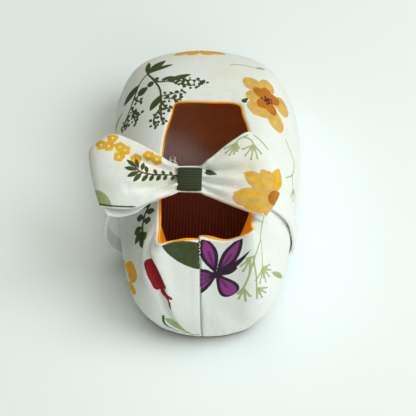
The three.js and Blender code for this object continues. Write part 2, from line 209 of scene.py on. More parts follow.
SECTIONS = (
    (0, 0, "heel", 0, 0, 0, 0.5, 0.25, 0.12, -0.28),
    (0.012, 0.42, "heel", -0.01, 0.54, 0.03, 0.55, 0.25, 0.13, -0.28),
    (0.055, 0.77, "heel", -0.01, 0.92, 0.15, 0.7, 0.25, 0.16, -0.25),
    (0.185, 1, "heel", 0.135, 0.97, 0.5, 0.86, 0.25, 0.23, -0.19),
    (0.395, 0.86, "ball", 0.44, 1.01, 0.9, 0.94, 0.28, 0.36, -0.1),
    (0.63, 0.98, "ball", 0.71, 0.98, 1, 1, 0.31, 0.44, -0.06),
    (0.825, 0.97, "ball", 0.89, 0.83, 1, 1.02, 0.33, 0.64, -0.04),
    (0.96, 0.7, "ball", 0.99, 0.68, 1, 0.98, 0.38, 0.86, -0.03),
    (1, 0, "ball", 1, 0, 1, 0.96, 0.44, 1.02, -0.03),
)
ARCH_START = 0.36
ARCH_LENGTH = 0.24
TOE_SPRING_START = 0.8
SWING_START = 0.38
STEP = 0.002


def sole_share(y, s):
    """How far along the sole a place is, from 0 at the heel to 1 at the toe."""
    return (y + s["heel_spot"]) / s["sole_length"]


def underside(y, s):
    """Height of the sole's underside."""
    along = sole_share(y, s)
    arch = np.clip((along - ARCH_START) / ARCH_LENGTH, 0, 1)
    spring = np.maximum(0, (along - TOE_SPRING_START) / (1 - TOE_SPRING_START))
    return s["arch_rise"] * np.sin(math.pi * arch) ** 2 + s["toe_spring"] * spring ** 2


def swing(y, s):
    """How far the toe's turn moves a place sideways."""
    bend = np.maximum(0, (sole_share(y, s) - SWING_START) / (1 - SWING_START))
    return -s["toe_swing"] * bend ** 2


def sections(s):
    """The ring of sections: sole x, y, collar x, y, z, and the four handles."""
    rows = []
    for along, out, at, collar_along, collar_out, drop, low_out, low_up, high_out, high_up in SECTIONS:
        rows.append([
            out * s[at + "_width"] / 2,
            along * s["sole_length"] - s["heel_spot"],
            collar_out * s["collar_width"] / 2,
            s["heel_lean"] + collar_along * s["collar_length"] - s["heel_spot"],
            lerp(s["heel_height"], s["instep_height"], drop),
            low_out * s["side_bulge"],
            low_up * s["instep_height"],
            high_out * s["vamp_reach"],
            high_up * s["instep_height"],
        ])
    outer = np.array(rows)
    inner = outer[-2:0:-1].copy()
    inner[:, [0, 2]] *= -1
    return np.vstack([outer, inner])


def section_at(turn, s):
    """One section between the named ones."""
    ring = sections(s)
    place = (turn - np.floor(turn)) * len(ring)
    index = np.floor(place).astype(int)
    t = (place - index)[..., None]
    return between(*(ring[(index + k) % len(ring)] for k in (-1, 0, 1, 2)), t)


def wall_point(turn, up, s):
    """The outside of the wall: turn goes from the heel by the outer side, up from sole to collar."""
    turn, up = np.broadcast_arrays(np.asarray(turn, float), np.asarray(up, float))
    q = section_at(turn, s)
    sole, collar = q[..., 0:2], q[..., 2:4]
    out = unit(sole - collar)
    foot = (underside(q[..., 1], s) + s["sole_thickness"] + s["seam_gap"])[..., None]
    a = np.concatenate([sole, foot], -1)
    b = np.concatenate([sole + out * q[..., 5:6], foot + q[..., 6:7]], -1)
    c = np.concatenate([collar + out * q[..., 7:8], q[..., 4:5] + q[..., 8:9]], -1)
    d = np.concatenate([collar, q[..., 4:5]], -1)
    t = up[..., None]
    point = (1 - t) ** 3 * a + 3 * t * (1 - t) ** 2 * b + 3 * t ** 2 * (1 - t) * c + t ** 3 * d
    point[..., 0] += swing(point[..., 1], s)
    return point


def wall_axes(turn, up, s):
    """Directions on the wall: round it, up it and out of it."""
    turn, up = np.broadcast_arrays(np.asarray(turn, float), np.asarray(up, float))
    low, high = np.maximum(0, up - STEP), np.minimum(1, up + STEP)
    round_it = wall_point(turn + STEP, up, s) - wall_point(turn - STEP, up, s)
    up_it = wall_point(turn, high, s) - wall_point(turn, low, s)
    out = unit(np.cross(round_it, up_it))
    round_it = unit(round_it)
    return round_it, np.cross(out, round_it), out


# Meshes

def start_clean():
    """Object mode, nothing selected."""
    if bpy.context.object and bpy.context.object.mode != "OBJECT":
        bpy.ops.object.mode_set(mode="OBJECT")
    bpy.ops.object.select_all(action="DESELECT")


def tidy_faces(piece):
    """Turns the faces out and shades the piece smooth."""
    bpy.ops.object.select_all(action="DESELECT")
    piece.select_set(True)
    bpy.context.view_layer.objects.active = piece
    bpy.ops.object.mode_set(mode="EDIT")
    bpy.ops.mesh.select_all(action="SELECT")
    bpy.ops.mesh.normals_make_consistent(inside=False)
    bpy.ops.object.mode_set(mode="OBJECT")
    bpy.ops.object.shade_smooth()


def lay_points(piece, points):
    """Moves a primitive's vertices to points given in millimetres."""
    piece.data.vertices.foreach_set("co", (points * MM).astype(np.float32).ravel())
    piece.data.update()


def read_points(piece):
    """A primitive's vertices as an array."""
    points = np.zeros(len(piece.data.vertices) * 3, np.float32)
    piece.data.vertices.foreach_get("co", points)
    return points.reshape(-1, 3).astype(float)


def ring_of_cloth(name, points):
    """A band closed both ways, with a vertex at each point; also gives every vertex's column and row."""
    around, across = points.shape[:2]
    start_clean()
    bpy.ops.mesh.primitive_grid_add(x_subdivisions=around, y_subdivisions=across, size=2)
    piece = bpy.context.object
    piece.name = piece.data.name = name
    co = read_points(piece)
    i = np.rint((co[:, 0] + 1) / 2 * around).astype(int) % around
    j = np.rint((co[:, 1] + 1) / 2 * across).astype(int) % across
    lay_points(piece, points[i, j])
    store(piece, "column", i)
    store(piece, "row", j)
    bpy.ops.object.mode_set(mode="EDIT")
    bpy.ops.mesh.select_all(action="SELECT")
    bpy.ops.mesh.remove_doubles(threshold=SAME_PLACE)
    bpy.ops.object.mode_set(mode="OBJECT")
    i, j = take_back(piece, "column"), take_back(piece, "row")
    tidy_faces(piece)
    return piece, i, j


def capped_tube(name, points):
    """A tube closed at both ends, its rows of points running from pole to pole."""
    around, along = points.shape[0], points.shape[1] - 1
    start_clean()
    bpy.ops.mesh.primitive_uv_sphere_add(segments=around, ring_count=along, radius=1)
    piece = bpy.context.object
    piece.name = piece.data.name = name
    co = read_points(piece)
    i = np.rint(np.arctan2(co[:, 1], co[:, 0]) / (2 * math.pi) * around).astype(int) % around
    j = np.rint(np.arccos(np.clip(co[:, 2], -1, 1)) / math.pi * along).astype(int)
    i[(j == 0) | (j == along)] = 0
    lay_points(piece, points[i, j])
    tidy_faces(piece)
    return piece, i, j


def store(piece, name, values):
    """Keeps a number at every vertex for the material to read."""
    attribute = piece.data.attributes.new(name=name, type="FLOAT", domain="POINT")
    attribute.data.foreach_set("value", values.astype(np.float32))


def take_back(piece, name):
    """Reads whole numbers kept at the vertices, and removes them from the piece."""
    attribute = piece.data.attributes[name]
    values = np.zeros(len(piece.data.vertices), np.float32)
    attribute.data.foreach_get("value", values)
    piece.data.attributes.remove(attribute)
    return np.rint(values).astype(int)


def store_map(piece, across, along):
    """Replaces the UV map by two arrays of millimetres at the vertices, torn at their jumps."""
    corners = np.zeros(len(piece.data.loops), np.int32)
    piece.data.loops.foreach_get("vertex_index", corners)
    starts = np.zeros(len(piece.data.polygons), np.int32)
    totals = np.zeros(len(piece.data.polygons), np.int32)
    piece.data.polygons.foreach_get("loop_start", starts)
    piece.data.polygons.foreach_get("loop_total", totals)
    face = np.repeat(np.arange(len(starts)), totals)
    flat = np.stack([across[corners], along[corners]], -1)
    for axis, values in enumerate((across, along)):
        whole = values.max() - values.min()
        highest = np.full(len(starts), -NOWHERE)
        np.maximum.at(highest, face, flat[:, axis])
        torn = highest[face] - flat[:, axis] > whole / 2
        flat[torn, axis] += whole
    layer = piece.data.uv_layers.active
    layer.data.foreach_set("uv", (flat * UV_SCALE).astype(np.float32).ravel())


def finish_piece(piece, node, material):
    """Gives a piece its material and its body, and hides the node it stands for."""
    piece.data.materials.clear()
    piece.data.materials.append(material)
    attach(piece, "root")
    if node:
        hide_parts(node)
    return piece


# Node materials

class Paints:
    """A material under construction."""

    def __init__(self, name, **surface):
        self.material = bpy.data.materials.new(name)
        self.material.use_nodes = True
        self.tree = self.material.node_tree
        self.shader = self.tree.nodes["Principled BSDF"]
        for socket, value in surface.items():
            self.shader.inputs[socket.replace("_", " ")].default_value = value

    def add(self, kind, inputs=None, **settings):
        """Adds a node; inputs are values or sockets, by name or number."""
        node = self.tree.nodes.new("ShaderNode" + kind)
        for key, value in settings.items():
            setattr(node, key, value)
        for key, value in (inputs or {}).items():
            if isinstance(value, bpy.types.NodeSocket):
                self.tree.links.new(value, node.inputs[key])
            else:
                node.inputs[key].default_value = value
        return node

    def math(self, operation, a, b=0.0, clamp=False):
        """One sum on two numbers."""
        return self.add("Math", {0: a, 1: b}, operation=operation, use_clamp=clamp).outputs[0]

    def remap(self, value, low, high, to_low=0.0, to_high=1.0, smooth_it=False):
        """Maps a number from one range to another."""
        kind = "SMOOTHSTEP" if smooth_it else "LINEAR"
        inputs = {0: value, 1: low, 2: high, 3: to_low, 4: to_high}
        return self.add("MapRange", inputs, clamp=True, interpolation_type=kind).outputs[0]

    def mix(self, amount, a, b):
        """One colour laid over another."""
        node = self.add("Mix", {0: amount}, data_type="RGBA", clamp_factor=True)
        for index, value in ((6, a), (7, b)):
            if isinstance(value, bpy.types.NodeSocket):
                self.tree.links.new(value, node.inputs[index])
            else:
                node.inputs[index].default_value = (*value, 1)
        return node.outputs[2]

    def value(self, name):
        """A number kept at the vertices."""
        return self.add("Attribute", attribute_name=name, attribute_type="GEOMETRY").outputs["Fac"]

    def noise(self, vector, scale, detail=2.0, rough=0.5, stretch=(1, 1, 1)):
        """Soft noise, stretched along an axis."""
        moved = self.add("Mapping", {"Vector": vector, "Scale": stretch}).outputs[0]
        inputs = {"Vector": moved, "Scale": scale, "Detail": detail, "Roughness": rough}
        return self.add("TexNoise", inputs).outputs["Fac"]

    def wave(self, vector, axis, pitch, wobble=0.0):
        """Even ridges across an axis, pitch in the units of the vector."""
        inputs = {"Vector": vector, "Scale": 1 / pitch / (10 / math.pi), "Distortion": wobble,
                  "Detail": 1.0, "Detail Scale": 1.5}
        return self.add("TexWave", inputs, wave_type="BANDS", bands_direction=axis).outputs["Fac"]

    def place(self):
        """The piece's own coordinates in metres."""
        return self.add("TexCoord").outputs["Object"]

    def along(self):
        """How far along the shoe, in metres."""
        return self.add("SeparateXYZ", {0: self.place()}).outputs[1]

    def cloth_map(self):
        """The piece's UV map, one unit to ten millimetres."""
        return self.add("TexCoord").outputs["UV"]

    def finish(self, colour, height=None, depth=0.1, roughness=None):
        """Joins colour, roughness and bump to the shader; depth in millimetres."""
        self.tree.links.new(colour, self.shader.inputs["Base Color"])
        if roughness is not None:
            self.tree.links.new(roughness, self.shader.inputs["Roughness"])
        if height is not None:
            bump = self.add("Bump", {"Height": height, "Strength": 1.0, "Distance": depth * MM})
            self.tree.links.new(bump.outputs[0], self.shader.inputs["Normal"])
        return self.material


def colours():
    """Every colour as three linear numbers, by name."""
    group = bpy.context.scene.baby_shoe_colours
    return {name: tuple(getattr(group, name)) for name in BabyShoeColours.__annotations__}


def shaded(colour, factor):
    """A colour made darker or lighter."""
    return [min(1, value * factor) for value in colour]


def weave_height(m, cloth, pitch, wobble=0.6):
    """A plain weave: threads over and under, with slubs."""
    warp = m.wave(cloth, "X", pitch, wobble)
    weft = m.wave(cloth, "Y", pitch, wobble)
    over = m.math("MULTIPLY", warp, weft)
    slub_across = m.noise(cloth, 9.0, 3.0, 0.6, (0.25, 3, 1))
    slub_along = m.noise(cloth, 9.0, 3.0, 0.6, (3, 0.25, 1))
    slubs = m.math("ADD", slub_across, slub_along)
    return m.math("ADD", m.math("MULTIPLY", over, 0.7), m.math("MULTIPLY", slubs, 0.9)), slubs


INKS = ("stem", "petal", "blossom", "leaf", "heart", "seed", "bud", "plum")
INK_COVER = 0.985
FAR = 9.0
LINE_LIMIT = 3
BEND_POINTS = 12
RAY_START = 0.12
SEED_HEAD = 0.36
BERRY_PITCH = 0.95
BERRY_SIZE = 0.62
VEIN_WIDTH = 0.3


def printed_cotton(name, warm):
    """Off-white cotton with its inks read from the vertices; warm from 0 to 1 is how much creamy drift it gets."""
    c = colours()
    m = Paints(name, Roughness=0.9, Sheen_Weight=0.02, Sheen_Roughness=0.5, Specular_IOR_Level=0.1)
    place = m.place()
    height, slubs = weave_height(m, m.cloth_map(), sizes()["weave"] * UV_SCALE)
    drift = m.remap(m.noise(place, 60.0, 3.0), 0.62 - 0.4 * warm, 0.9 - 0.4 * warm)
    colour = m.mix(drift, c["cotton"], c["cotton_warm"])
    colour = m.mix(m.remap(slubs, 1.0, 0.7, 0.0, 0.45), colour, shaded(c["cotton_warm"], 0.86))
    rough_edge = m.add("Math", {0: m.noise(place, 2200.0, 2.0), 1: 0.24, 2: -0.12},
                       operation="MULTIPLY_ADD").outputs[0]
    mottle = m.noise(place, 420.0, 4.0, 0.6)
    for ink in INKS:
        edge = m.math("ADD", m.value("ink_" + ink), rough_edge)
        cover = m.remap(edge, 0.07, -0.07, 0.0, INK_COVER)
        pale = [min(1, value * 1.12 + 0.01) for value in c[ink]]
        tone = m.mix(m.remap(mottle, 0.3, 0.7), shaded(c[ink], 0.84), pale)
        if ink == "plum":
            depth = m.math("ADD", m.value("ink_plum"), m.math("MULTIPLY", rough_edge, 1.6))
            inner = m.remap(depth, -1.08, -1.3)
            streak = m.remap(m.value("vein"), 0.0, 0.5, 0.35, 1.0)
            tone = m.mix(m.math("MULTIPLY", inner, streak), tone, c["violet"])
        colour = m.mix(cover, colour, tone)
    aside = m.math("ABSOLUTE", m.value("line_aside"))
    line = m.remap(m.math("ADD", aside, m.math("MULTIPLY", rough_edge, 0.5)), 0.29, 0.17)
    near = m.remap(m.value("line_reach"), 0.46, 0.36)
    colour = m.mix(m.math("MULTIPLY", line, near), colour, c["stem"])
    colour = m.mix(m.remap(m.value("seam_near"), 0.35, 0.8, 0.0, 0.55), colour, c["leaf"])
    return m.finish(colour, height, 0.07, m.remap(mottle, 0.2, 0.8, 0.8, 0.92))


# Print: shapes in millimetres on a patch of cloth, each giving its distance below or above the edge

def disc(x, y, at, radius):
    """A round dot."""
    return np.hypot(x - at[0], y - at[1]) - radius


def frond(x, y, root, tip, width, belly, full):
    """A leaf or petal from root to tip; belly above 1 is widest near the tip, full below 1 is blunter."""
    ax, ay = tip[0] - root[0], tip[1] - root[1]
    reach = math.hypot(ax, ay)
    t = ((x - root[0]) * ax + (y - root[1]) * ay) / reach ** 2
    aside = ((x - root[0]) * ay - (y - root[1]) * ax) / reach
    inside = np.clip(t, 0, 1)
    half = width / 2 * np.maximum(np.sin(math.pi * inside ** belly), 0) ** full
    beyond = np.maximum(np.maximum(-t, t - 1), 0) * reach
    return np.where(beyond > 0, np.hypot(beyond, aside), np.abs(aside) - half)


def beside(x, y, path):
    """How far each point is from a path, and how far aside of its nearest stretch."""
    reach, aside = np.full(x.shape, FAR), np.full(x.shape, FAR)
    for (ax, ay), (bx, by) in zip(path[:-1], path[1:]):
        dx, dy = bx - ax, by - ay
        size = dx * dx + dy * dy
        t = np.clip(((x - ax) * dx + (y - ay) * dy) / size, 0, 1)
        here = np.hypot(x - ax - dx * t, y - ay - dy * t)
        nearer = here < reach
        reach = np.where(nearer, here, reach)
        aside = np.where(nearer, ((x - ax) * dy - (y - ay) * dx) / math.sqrt(size), aside)
    return reach, aside


def curved(path):
    """The same path with smooth bends."""
    return [tuple(point) for point in spline(path, np.linspace(0, 1, BEND_POINTS))]


def polar(angle, across, along=None):
    """A place at an angle round the patch's middle."""
    return across * math.cos(angle), (across if along is None else along) * math.sin(angle)


class Print:
    """Inks gathered over a set of cloth points."""

    def __init__(self, points, allowed):
        self.points = points
        self.allowed = allowed
        self.inks = {name: np.full(len(points), FAR) for name in INKS}
        self.vein = np.full(len(points), 1.0)
        self.aside = np.full(len(points), FAR)
        self.reach = np.full(len(points), FAR)

    def patch(self, origin, right, up, reach, only=True):
        """The points near a place, with their distances across and up from it."""
        offset = self.points - origin
        far = np.linalg.norm(offset, axis=-1)
        chosen = np.nonzero((far < reach) & self.allowed & only)[0]
        x, y = offset[chosen] @ right, offset[chosen] @ up
        stretch = far[chosen] / np.maximum(np.hypot(x, y), TINY)
        return Patch(self, chosen, x * stretch, y * stretch)

    def keep(self, piece):
        """Stores every ink on the piece."""
        for name, values in self.inks.items():
            store(piece, "ink_" + name, values)
        store(piece, "vein", self.vein)
        store(piece, "line_aside", np.clip(self.aside, -LINE_LIMIT, LINE_LIMIT))
        store(piece, "line_reach", np.clip(self.reach, 0, LINE_LIMIT))


class Patch:
    """A place on the print to draw on: x runs across it and y up it."""

    def __init__(self, cloth, chosen, x, y):
        self.cloth = cloth
        self.chosen = chosen
        self.x = x
        self.y = y

    def lay(self, values, distance):
        """Adds one shape to the distances that the print keeps."""
        values[self.chosen] = np.minimum(values[self.chosen], distance)

    def discs(self, ink, radius, *places):
        """Round dots of one size."""
        for at in places:
            self.lay(self.cloth.inks[ink], disc(self.x, self.y, at, radius))

    def fronds(self, ink, belly, full, *rows):
        """Leaves or petals, each given by its root, tip and width."""
        for root, tip, width in rows:
            self.lay(self.cloth.inks[ink], frond(self.x, self.y, root, tip, width, belly, full))

    def strokes(self, ink, width, *paths):
        """Inked lines of one width."""
        for path in paths:
            self.lay(self.cloth.inks[ink], beside(self.x, self.y, path)[0] - width / 2)

    def stems(self, ink, width, *paths):
        """Inked lines with smooth bends."""
        self.strokes(ink, width, *map(curved, paths))

    def lines(self, *paths):
        """Thin pale lines: how far aside of them each point is, and how far away."""
        for path in paths:
            reach, aside = beside(self.x, self.y, path)
            nearer = reach < self.cloth.reach[self.chosen]
            self.cloth.reach[self.chosen[nearer]] = reach[nearer]
            self.cloth.aside[self.chosen[nearer]] = aside[nearer]

    def thin_stems(self, *paths):
        """Thin pale lines with smooth bends."""
        self.lines(*map(curved, paths))

    def umbel(self, foot, *heads):
        """Rays from a foot, each with a small seed head."""
        for head in heads:
            self.lines((tuple(lerp(np.array(foot), np.array(head), RAY_START)), head))
        self.discs("stem", SEED_HEAD, *heads)

    def berries(self, path):
        """A twig hung on both sides with small round berries."""
        self.stems("leaf", 0.66, path)
        run = sum(math.dist(a, b) for a, b in zip(path[:-1], path[1:]))
        count = max(4, int(run / BERRY_PITCH))
        for k in range(count):
            at = spline(path, (k + 0.6) / count)
            ahead = unit(spline(path, min(1, (k + 1) / count)) - spline(path, max(0, (k - 1) / count)))
            aside = (-1) ** k * (0.95 + 0.4 * math.sin(2.3 * k + run))
            end = at + 0.5 * ahead + aside * np.array([-ahead[1], ahead[0]])
            self.discs("leaf", BERRY_SIZE * (1 + 0.2 * math.sin(5.0 * k)), end)


def gold_flower(patch):
    """Five gold petals round an amber heart with dark dots."""
    patch.fronds("petal", 1.5, 0.62,
                 ((1, 0.6), (11.4, 5.6), 6.4), ((1, -0.4), (10.8, -2.8), 6.6), ((0.4, -1), (-0.8, -10.8), 9),
                 ((-1.2, -0.4), (-13.6, -1.8), 7.6), ((-0.6, 0.8), (-7.2, 7.6), 9.2))
    patch.fronds("petal", 1.4, 0.6, ((0, 1), (2.6, 8), 6))
    for tip, width in (((5.8, 4), 4.4), ((6.4, -1), 4.6), ((2.4, -6), 5), ((-6.6, -0.8), 5),
                       ((-3.4, 4.8), 4.8)):
        patch.fronds("heart", 1.3, 0.62, ((-0.1 * tip[0], -0.1 * tip[1]), tip, width))
    for k in range(12):
        patch.discs("seed", 0.5, polar(2.4 * k, 0.5 + 0.16 * k))


def green_sprig(patch):
    """A dark sprig with leaves, twigs and berry heads."""
    patch.fronds("leaf", 1, 0.85,
                 ((0, 0), (-7.4, -5.2), 2.2), ((0, 0.2), (-9.4, 1.6), 3.8), ((0, 0.4), (-7.8, 6.6), 2.4),
                 ((5, -1.6), (13.4, -5.8), 4.2), ((9.4, 12), (17, 11.6), 3), ((2.8, 8), (-1.2, 11.4), 1.8),
                 ((2.4, 10.6), (-5, 15.8), 2.6))
    patch.stems("leaf", 0.75,
                ((0, 0), (4.5, -1.2), (10.5, -0.4), (15, 0.4), (20, 0.2), (23.6, 0.8)),
                ((0, 0), (1.6, 2.8), (3.6, 6), (6.5, 10), (10, 12.5), (14.5, 15), (18.5, 15)),
                ((1.4, 2.4), (3.5, 7.4), (2, 11), (-1.5, 13.4), (-4.4, 15.6)))
    for at, radius in (((8.4, 2.4), 1.9), ((5, 4.8), 1.4), ((2.2, 6), 0.9), ((7.4, 3.4), 1.2)):
        patch.discs("leaf", radius, at)
    for path in (((2.4, 11.4), (0.6, 14.6), (-1.4, 17), (-3.4, 20.6), (-3, 22.6)),
                 ((2, 13), (1.6, 16), (0.6, 19), (-0.4, 21.6)),
                 ((9.6, 12.8), (8, 15), (6, 17), (4.6, 18.6)), ((10.4, 14), (9.6, 16.4), (8.6, 19.4)),
                 ((11.6, 13.6), (13.6, 16), (14.6, 18.6)),
                 ((14.4, 15), (17, 16.6), (19.6, 18.2), (20.6, 19.8)),
                 ((16, 15), (19, 15), (22, 16.4), (23, 18)),
                 ((10.6, 0), (12.2, 1.6), (13, 5.4)), ((15, 0.6), (17.4, 3.4), (19.4, 5), (22.2, 8)),
                 ((16.6, 3), (18.2, 5.6), (18.6, 8)), ((18, 0.4), (20.8, 2), (23.4, 2.6)),
                 ((18.6, 0.2), (21.4, -0.6), (23.4, -1.4))):
        patch.berries(path)


def violet_flower(patch):
    """A plum flower whose petals have violet middles."""
    petals = (((-0.7, 1.2), (-5.3, 12.8), 5.8, 1.3, 0.72), ((-0.5, 1.2), (6.4, 12.5), 5.2, 1.35, 0.72),
              ((-0.4, 0.6), (9.8, 8), 2, 0.7, 1), ((-0.4, 0.5), (6, 3.6), 2, 1.2, 0.7),
              ((-0.6, 0.9), (5.6, -6.2), 7.2, 2.3, 0.38), ((-0.6, 0.6), (-9.8, -0.2), 4.6, 1.2, 0.65),
              ((-0.6, 0.5), (-9.8, -3.4), 4.2, 1.2, 0.65), ((-0.6, 0.4), (-9.6, -7.4), 5, 1.2, 0.65))
    for root, tip, width, belly, full in petals:
        patch.fronds("plum", belly, full, (root, tip, width))
        reaches_seam = tip[0] < -8
        share = 0.95 if reaches_seam else 0.6
        middle = (lerp(root[0], tip[0], share), lerp(root[1], tip[1], share))
        far = beside(patch.x, patch.y, (root, middle))[0]
        patch.lay(patch.cloth.vein, np.maximum(far - VEIN_WIDTH / 2, 0))
    patch.discs("plum", 1.3, (-0.6, 0.6))


def crimson_bud(patch):
    """A closed bud and its torn tail."""
    patch.strokes("bud", 4.3, ((-1.9, 3.5), (-0.7, 0.6), (1, -3.3)))
    patch.fronds("bud", 0.9, 0.8, ((1.6, -4.4), (4.6, -9.4), 2))
    patch.strokes("bud", 0.8, ((2.6, -6.4), (4.6, -9), (5, -11.6)), ((2, -5), (5.2, -7.4)))


def umbel_branch(patch):
    """A long pale stem with four umbels."""
    patch.thin_stems(((17.5, 3.4), (9.2, 1.8), (3.2, 0.6), (-2.4, -2.4), (-6.4, -10.6)),
                     ((3.2, 0.6), (1.6, -2.6), (0.3, -6)), ((-2.6, -2.6), (-2.6, -6.6), (-3.4, -11.4)),
                     ((13.4, 2.6), (11.4, 5.2)), ((-2, -2), (-4.2, -1.4)))
    patch.umbel((0.3, -6), (-3, -8.4), (-2, -10.2), (-0.2, -9.4), (0.2, -11.4), (1.8, -9.2), (2.4, -11),
                (4.2, -9.8), (4.6, -7.8))
    patch.umbel((-3.4, -11.4), (-3.8, -15.6), (-2.2, -16.2), (-0.6, -15.4), (0.2, -13.8))
    patch.umbel((-6.4, -10.6), (-8, -13), (-8, -15), (-6.6, -15.8), (-5.4, -14))
    patch.umbel((-3.4, -1.6), (-6, -2.8), (-5.6, -4.6), (-4.2, -5.4))


def side_stem(patch):
    """A pale stem that bends and ends in an umbel."""
    patch.thin_stems(((7, 3), (5.1, 1.5), (0.2, -2.1), (-6, -1), (-10.3, 3.1)),
                     ((-6, -1), (-9, -1.4), (-11, -2.6)))
    patch.umbel((-11, -2.6), (-12.6, -6), (-14.6, -5), (-15.8, -3), (-15.6, -1))


def toe_gold(patch):
    """Wide gold petals over the toe's end."""
    patch.fronds("blossom", 1.5, 0.6,
                 ((0, -5), (9.4, -1), 4.6), ((0, -5), (-9.8, -1.6), 4.6), ((0.5, -6), (3.6, 0.6), 5),
                 ((-0.5, -6), (-4.4, 0.4), 5.2), ((0, -6), (7, -11), 6), ((0, -6), (-6, -12), 6))


def low_leaf(patch):
    """A long pale leaf that lies along the sole, and its dark stalk."""
    patch.fronds("stem", 0.9, 0.8, ((-3, 7.6), (6, -1.2), 3))
    patch.stems("leaf", 0.8, ((-3.6, 8.6), (-3.2, 4), (-0.4, 0), (4, -1.6), (9.4, -1.8)))


def left_gold(patch):
    """Bright petals on the inner side."""
    patch.fronds("blossom", 1.4, 0.6,
                 ((-6, -5.4), (5.4, 3.6), 7), ((-1, -8.6), (7, -2.6), 4.4), ((-5, -8), (-8.6, -5.4), 3))


def leafy_twig(patch):
    """A dark twig with paired leaves, under the bow."""
    patch.stems("leaf", 0.9, ((-9.4, 5.4), (-6, 4), (-3.2, 1.6), (0, -0.4), (2.4, -1.4)))
    patch.fronds("leaf", 1.15, 0.85,
                 ((2, -1.2), (7.4, 2.2), 2.8), ((2.2, -1.6), (7.6, -2.8), 2.8),
                 ((1.4, -1.4), (3.6, -6.2), 2.8), ((0.2, -0.8), (-0.4, -5.6), 2.8),
                 ((-1.6, 0.6), (1.2, 4.4), 2.6), ((-2.6, 1), (-4.8, -2.8), 2.6),
                 ((-4.2, 2.2), (-2, 6), 2.4), ((-5.8, 3.6), (-8.2, 0.6), 2.4))


def small_leaf(patch):
    """One pale leaf."""
    patch.fronds("stem", 1, 0.7, ((-3.6, 6), (3, -5), 1.9))


def loose_stem(patch):
    """A short bent pale stem."""
    patch.thin_stems(((5, 0.6), (2, -1.8), (-1.4, -2.8), (-4.4, -3.6)))
    patch.fronds("stem", 1, 1, ((-3.4, -3.4), (-6.4, -7), 1.8))


def dark_bud(patch):
    """A small dark bud by the collar."""
    patch.discs("leaf", 1.0, (0, -0.4))
    patch.fronds("leaf", 1, 1, ((0, 0), (0.4, -2.6), 1.2))


def corner_leaf(patch):
    """A broad leaf that the heel's seam cuts off."""
    patch.fronds("leaf", 1, 0.8, ((-7.2, 2.2), (15, -7), 9.2))


def seed_dots(patch):
    """A few pale seeds."""
    patch.discs("stem", 0.55, (0, 0), (1.6, 1.4), (-1.4, 1.8), (0.4, 3.4), (-1, -2.2), (1.2, -3.2))


# Drawing, turn and height on the wall, reach in millimetres, spin in degrees, and side of the heel's seam

WALL_PRINT = (
    (gold_flower, 0.375, 0.783, 17, 0, 0),
    (green_sprig, 0.582, 0.7, 31, 0, 0),
    (umbel_branch, 0.134, 0.9, 24, 0, 1),
    (violet_flower, 0.029, 0.7, 17, 0, 1),
    (crimson_bud, 0.892, 0.708, 15, 0, -1),
    (side_stem, 0.286, 0.575, 22, 0, 0),
    (corner_leaf, 0.958, 0.933, 14, 0, -1),
    (toe_gold, 0.506, 0.642, 15, 0, 0),
    (loose_stem, 0.453, 0.75, 10, 0, 0),
    (dark_bud, 0.425, 0.985, 4, 0, 0),
    (small_leaf, 0.16, 0.492, 9, 0, 1),
    (low_leaf, 0.938, 0.1, 12, 0, -1),
    (left_gold, 0.838, 0.492, 12, 0, -1),
    (leafy_twig, 0.803, 0.808, 13, 0, -1),
    (seed_dots, 0.22, 0.5, 6, 0, 0),
    (small_leaf, 0.665, 0.4, 9, 160, 0),
    (crimson_bud, 0.42, 0.22, 13, 70, 0),
    (umbel_branch, 0.71, 0.3, 20, 150, 0),
    (violet_flower, 0.52, 0.2, 15, 100, 0),
    (leafy_twig, 0.62, 0.16, 12, 60, 0),
)


def print_wall(piece, turn, up, points, outside, s):
    """Prints the wildflowers on the outside of the wall."""
    cloth = Print(points, outside)
    outer_half = past_seam(turn, up) > 0
    halves = {0: True, 1: outer_half, -1: ~outer_half}
    for draw, at_turn, at_up, reach, angle, half in WALL_PRINT:
        right, upward, _ = wall_axes(at_turn, at_up, s)
        spin = math.radians(angle)
        turned = right * math.cos(spin) + upward * math.sin(spin)
        raised = upward * math.cos(spin) - right * math.sin(spin)
        draw(cloth.patch(wall_point(at_turn, at_up, s), turned, raised, reach, halves[half]))
    cloth.keep(piece)


# Folds of the wall: path as turn and height, height of the fold, half width, and how far a step reaches

WALL_FOLDS = (
    ("step", ((0.84, 0.99), (0.882, 0.84), (0.911, 0.63), (0.931, 0.4), (0.955, 0.2)), 1.9, 0.95, 7.5),
    ("soft", ((0.82, 0.97), (0.862, 0.76), (0.877, 0.6)), 1.2, 2.0, 0),
    ("soft", ((0.8, 0.83), (0.828, 0.75), (0.858, 0.62)), -0.9, 2.0, 0),
    ("soft", ((0.9, 0.95), (0.93, 0.7), (0.955, 0.45)), -0.5, 3.5, 0),
    ("soft", ((0.03, 0.5), (0.07, 0.3), (0.12, 0.12)), -0.35, 3.0, 0),
    ("soft", ((0.13, 0.55), (0.15, 0.3), (0.16, 0.1)), 0.4, 3.0, 0),
    ("soft", ((0.19, 0.85), (0.2, 0.6), (0.2, 0.3)), -0.5, 3.4, 0),
)


def nearest_on(line, points):
    """For each point: how far the line is, the share along it, and the stretch and the offset there."""
    best = np.full(points.shape[:-1], NOWHERE)
    place = np.zeros(best.shape)
    stretch, gap = np.zeros(points.shape), np.zeros(points.shape)
    for k, (a, b) in enumerate(zip(line[:-1], line[1:])):
        t = np.clip(((points - a) @ (b - a)) / ((b - a) @ (b - a)), 0, 1)
        offset = points - a - t[..., None] * (b - a)
        far = np.linalg.norm(offset, axis=-1)
        nearer = far < best
        best = np.where(nearer, far, best)
        place = np.where(nearer, (k + t) / (len(line) - 1), place)
        stretch[nearer] = b - a
        gap[nearer] = offset[nearer]
    return best, place, stretch, gap


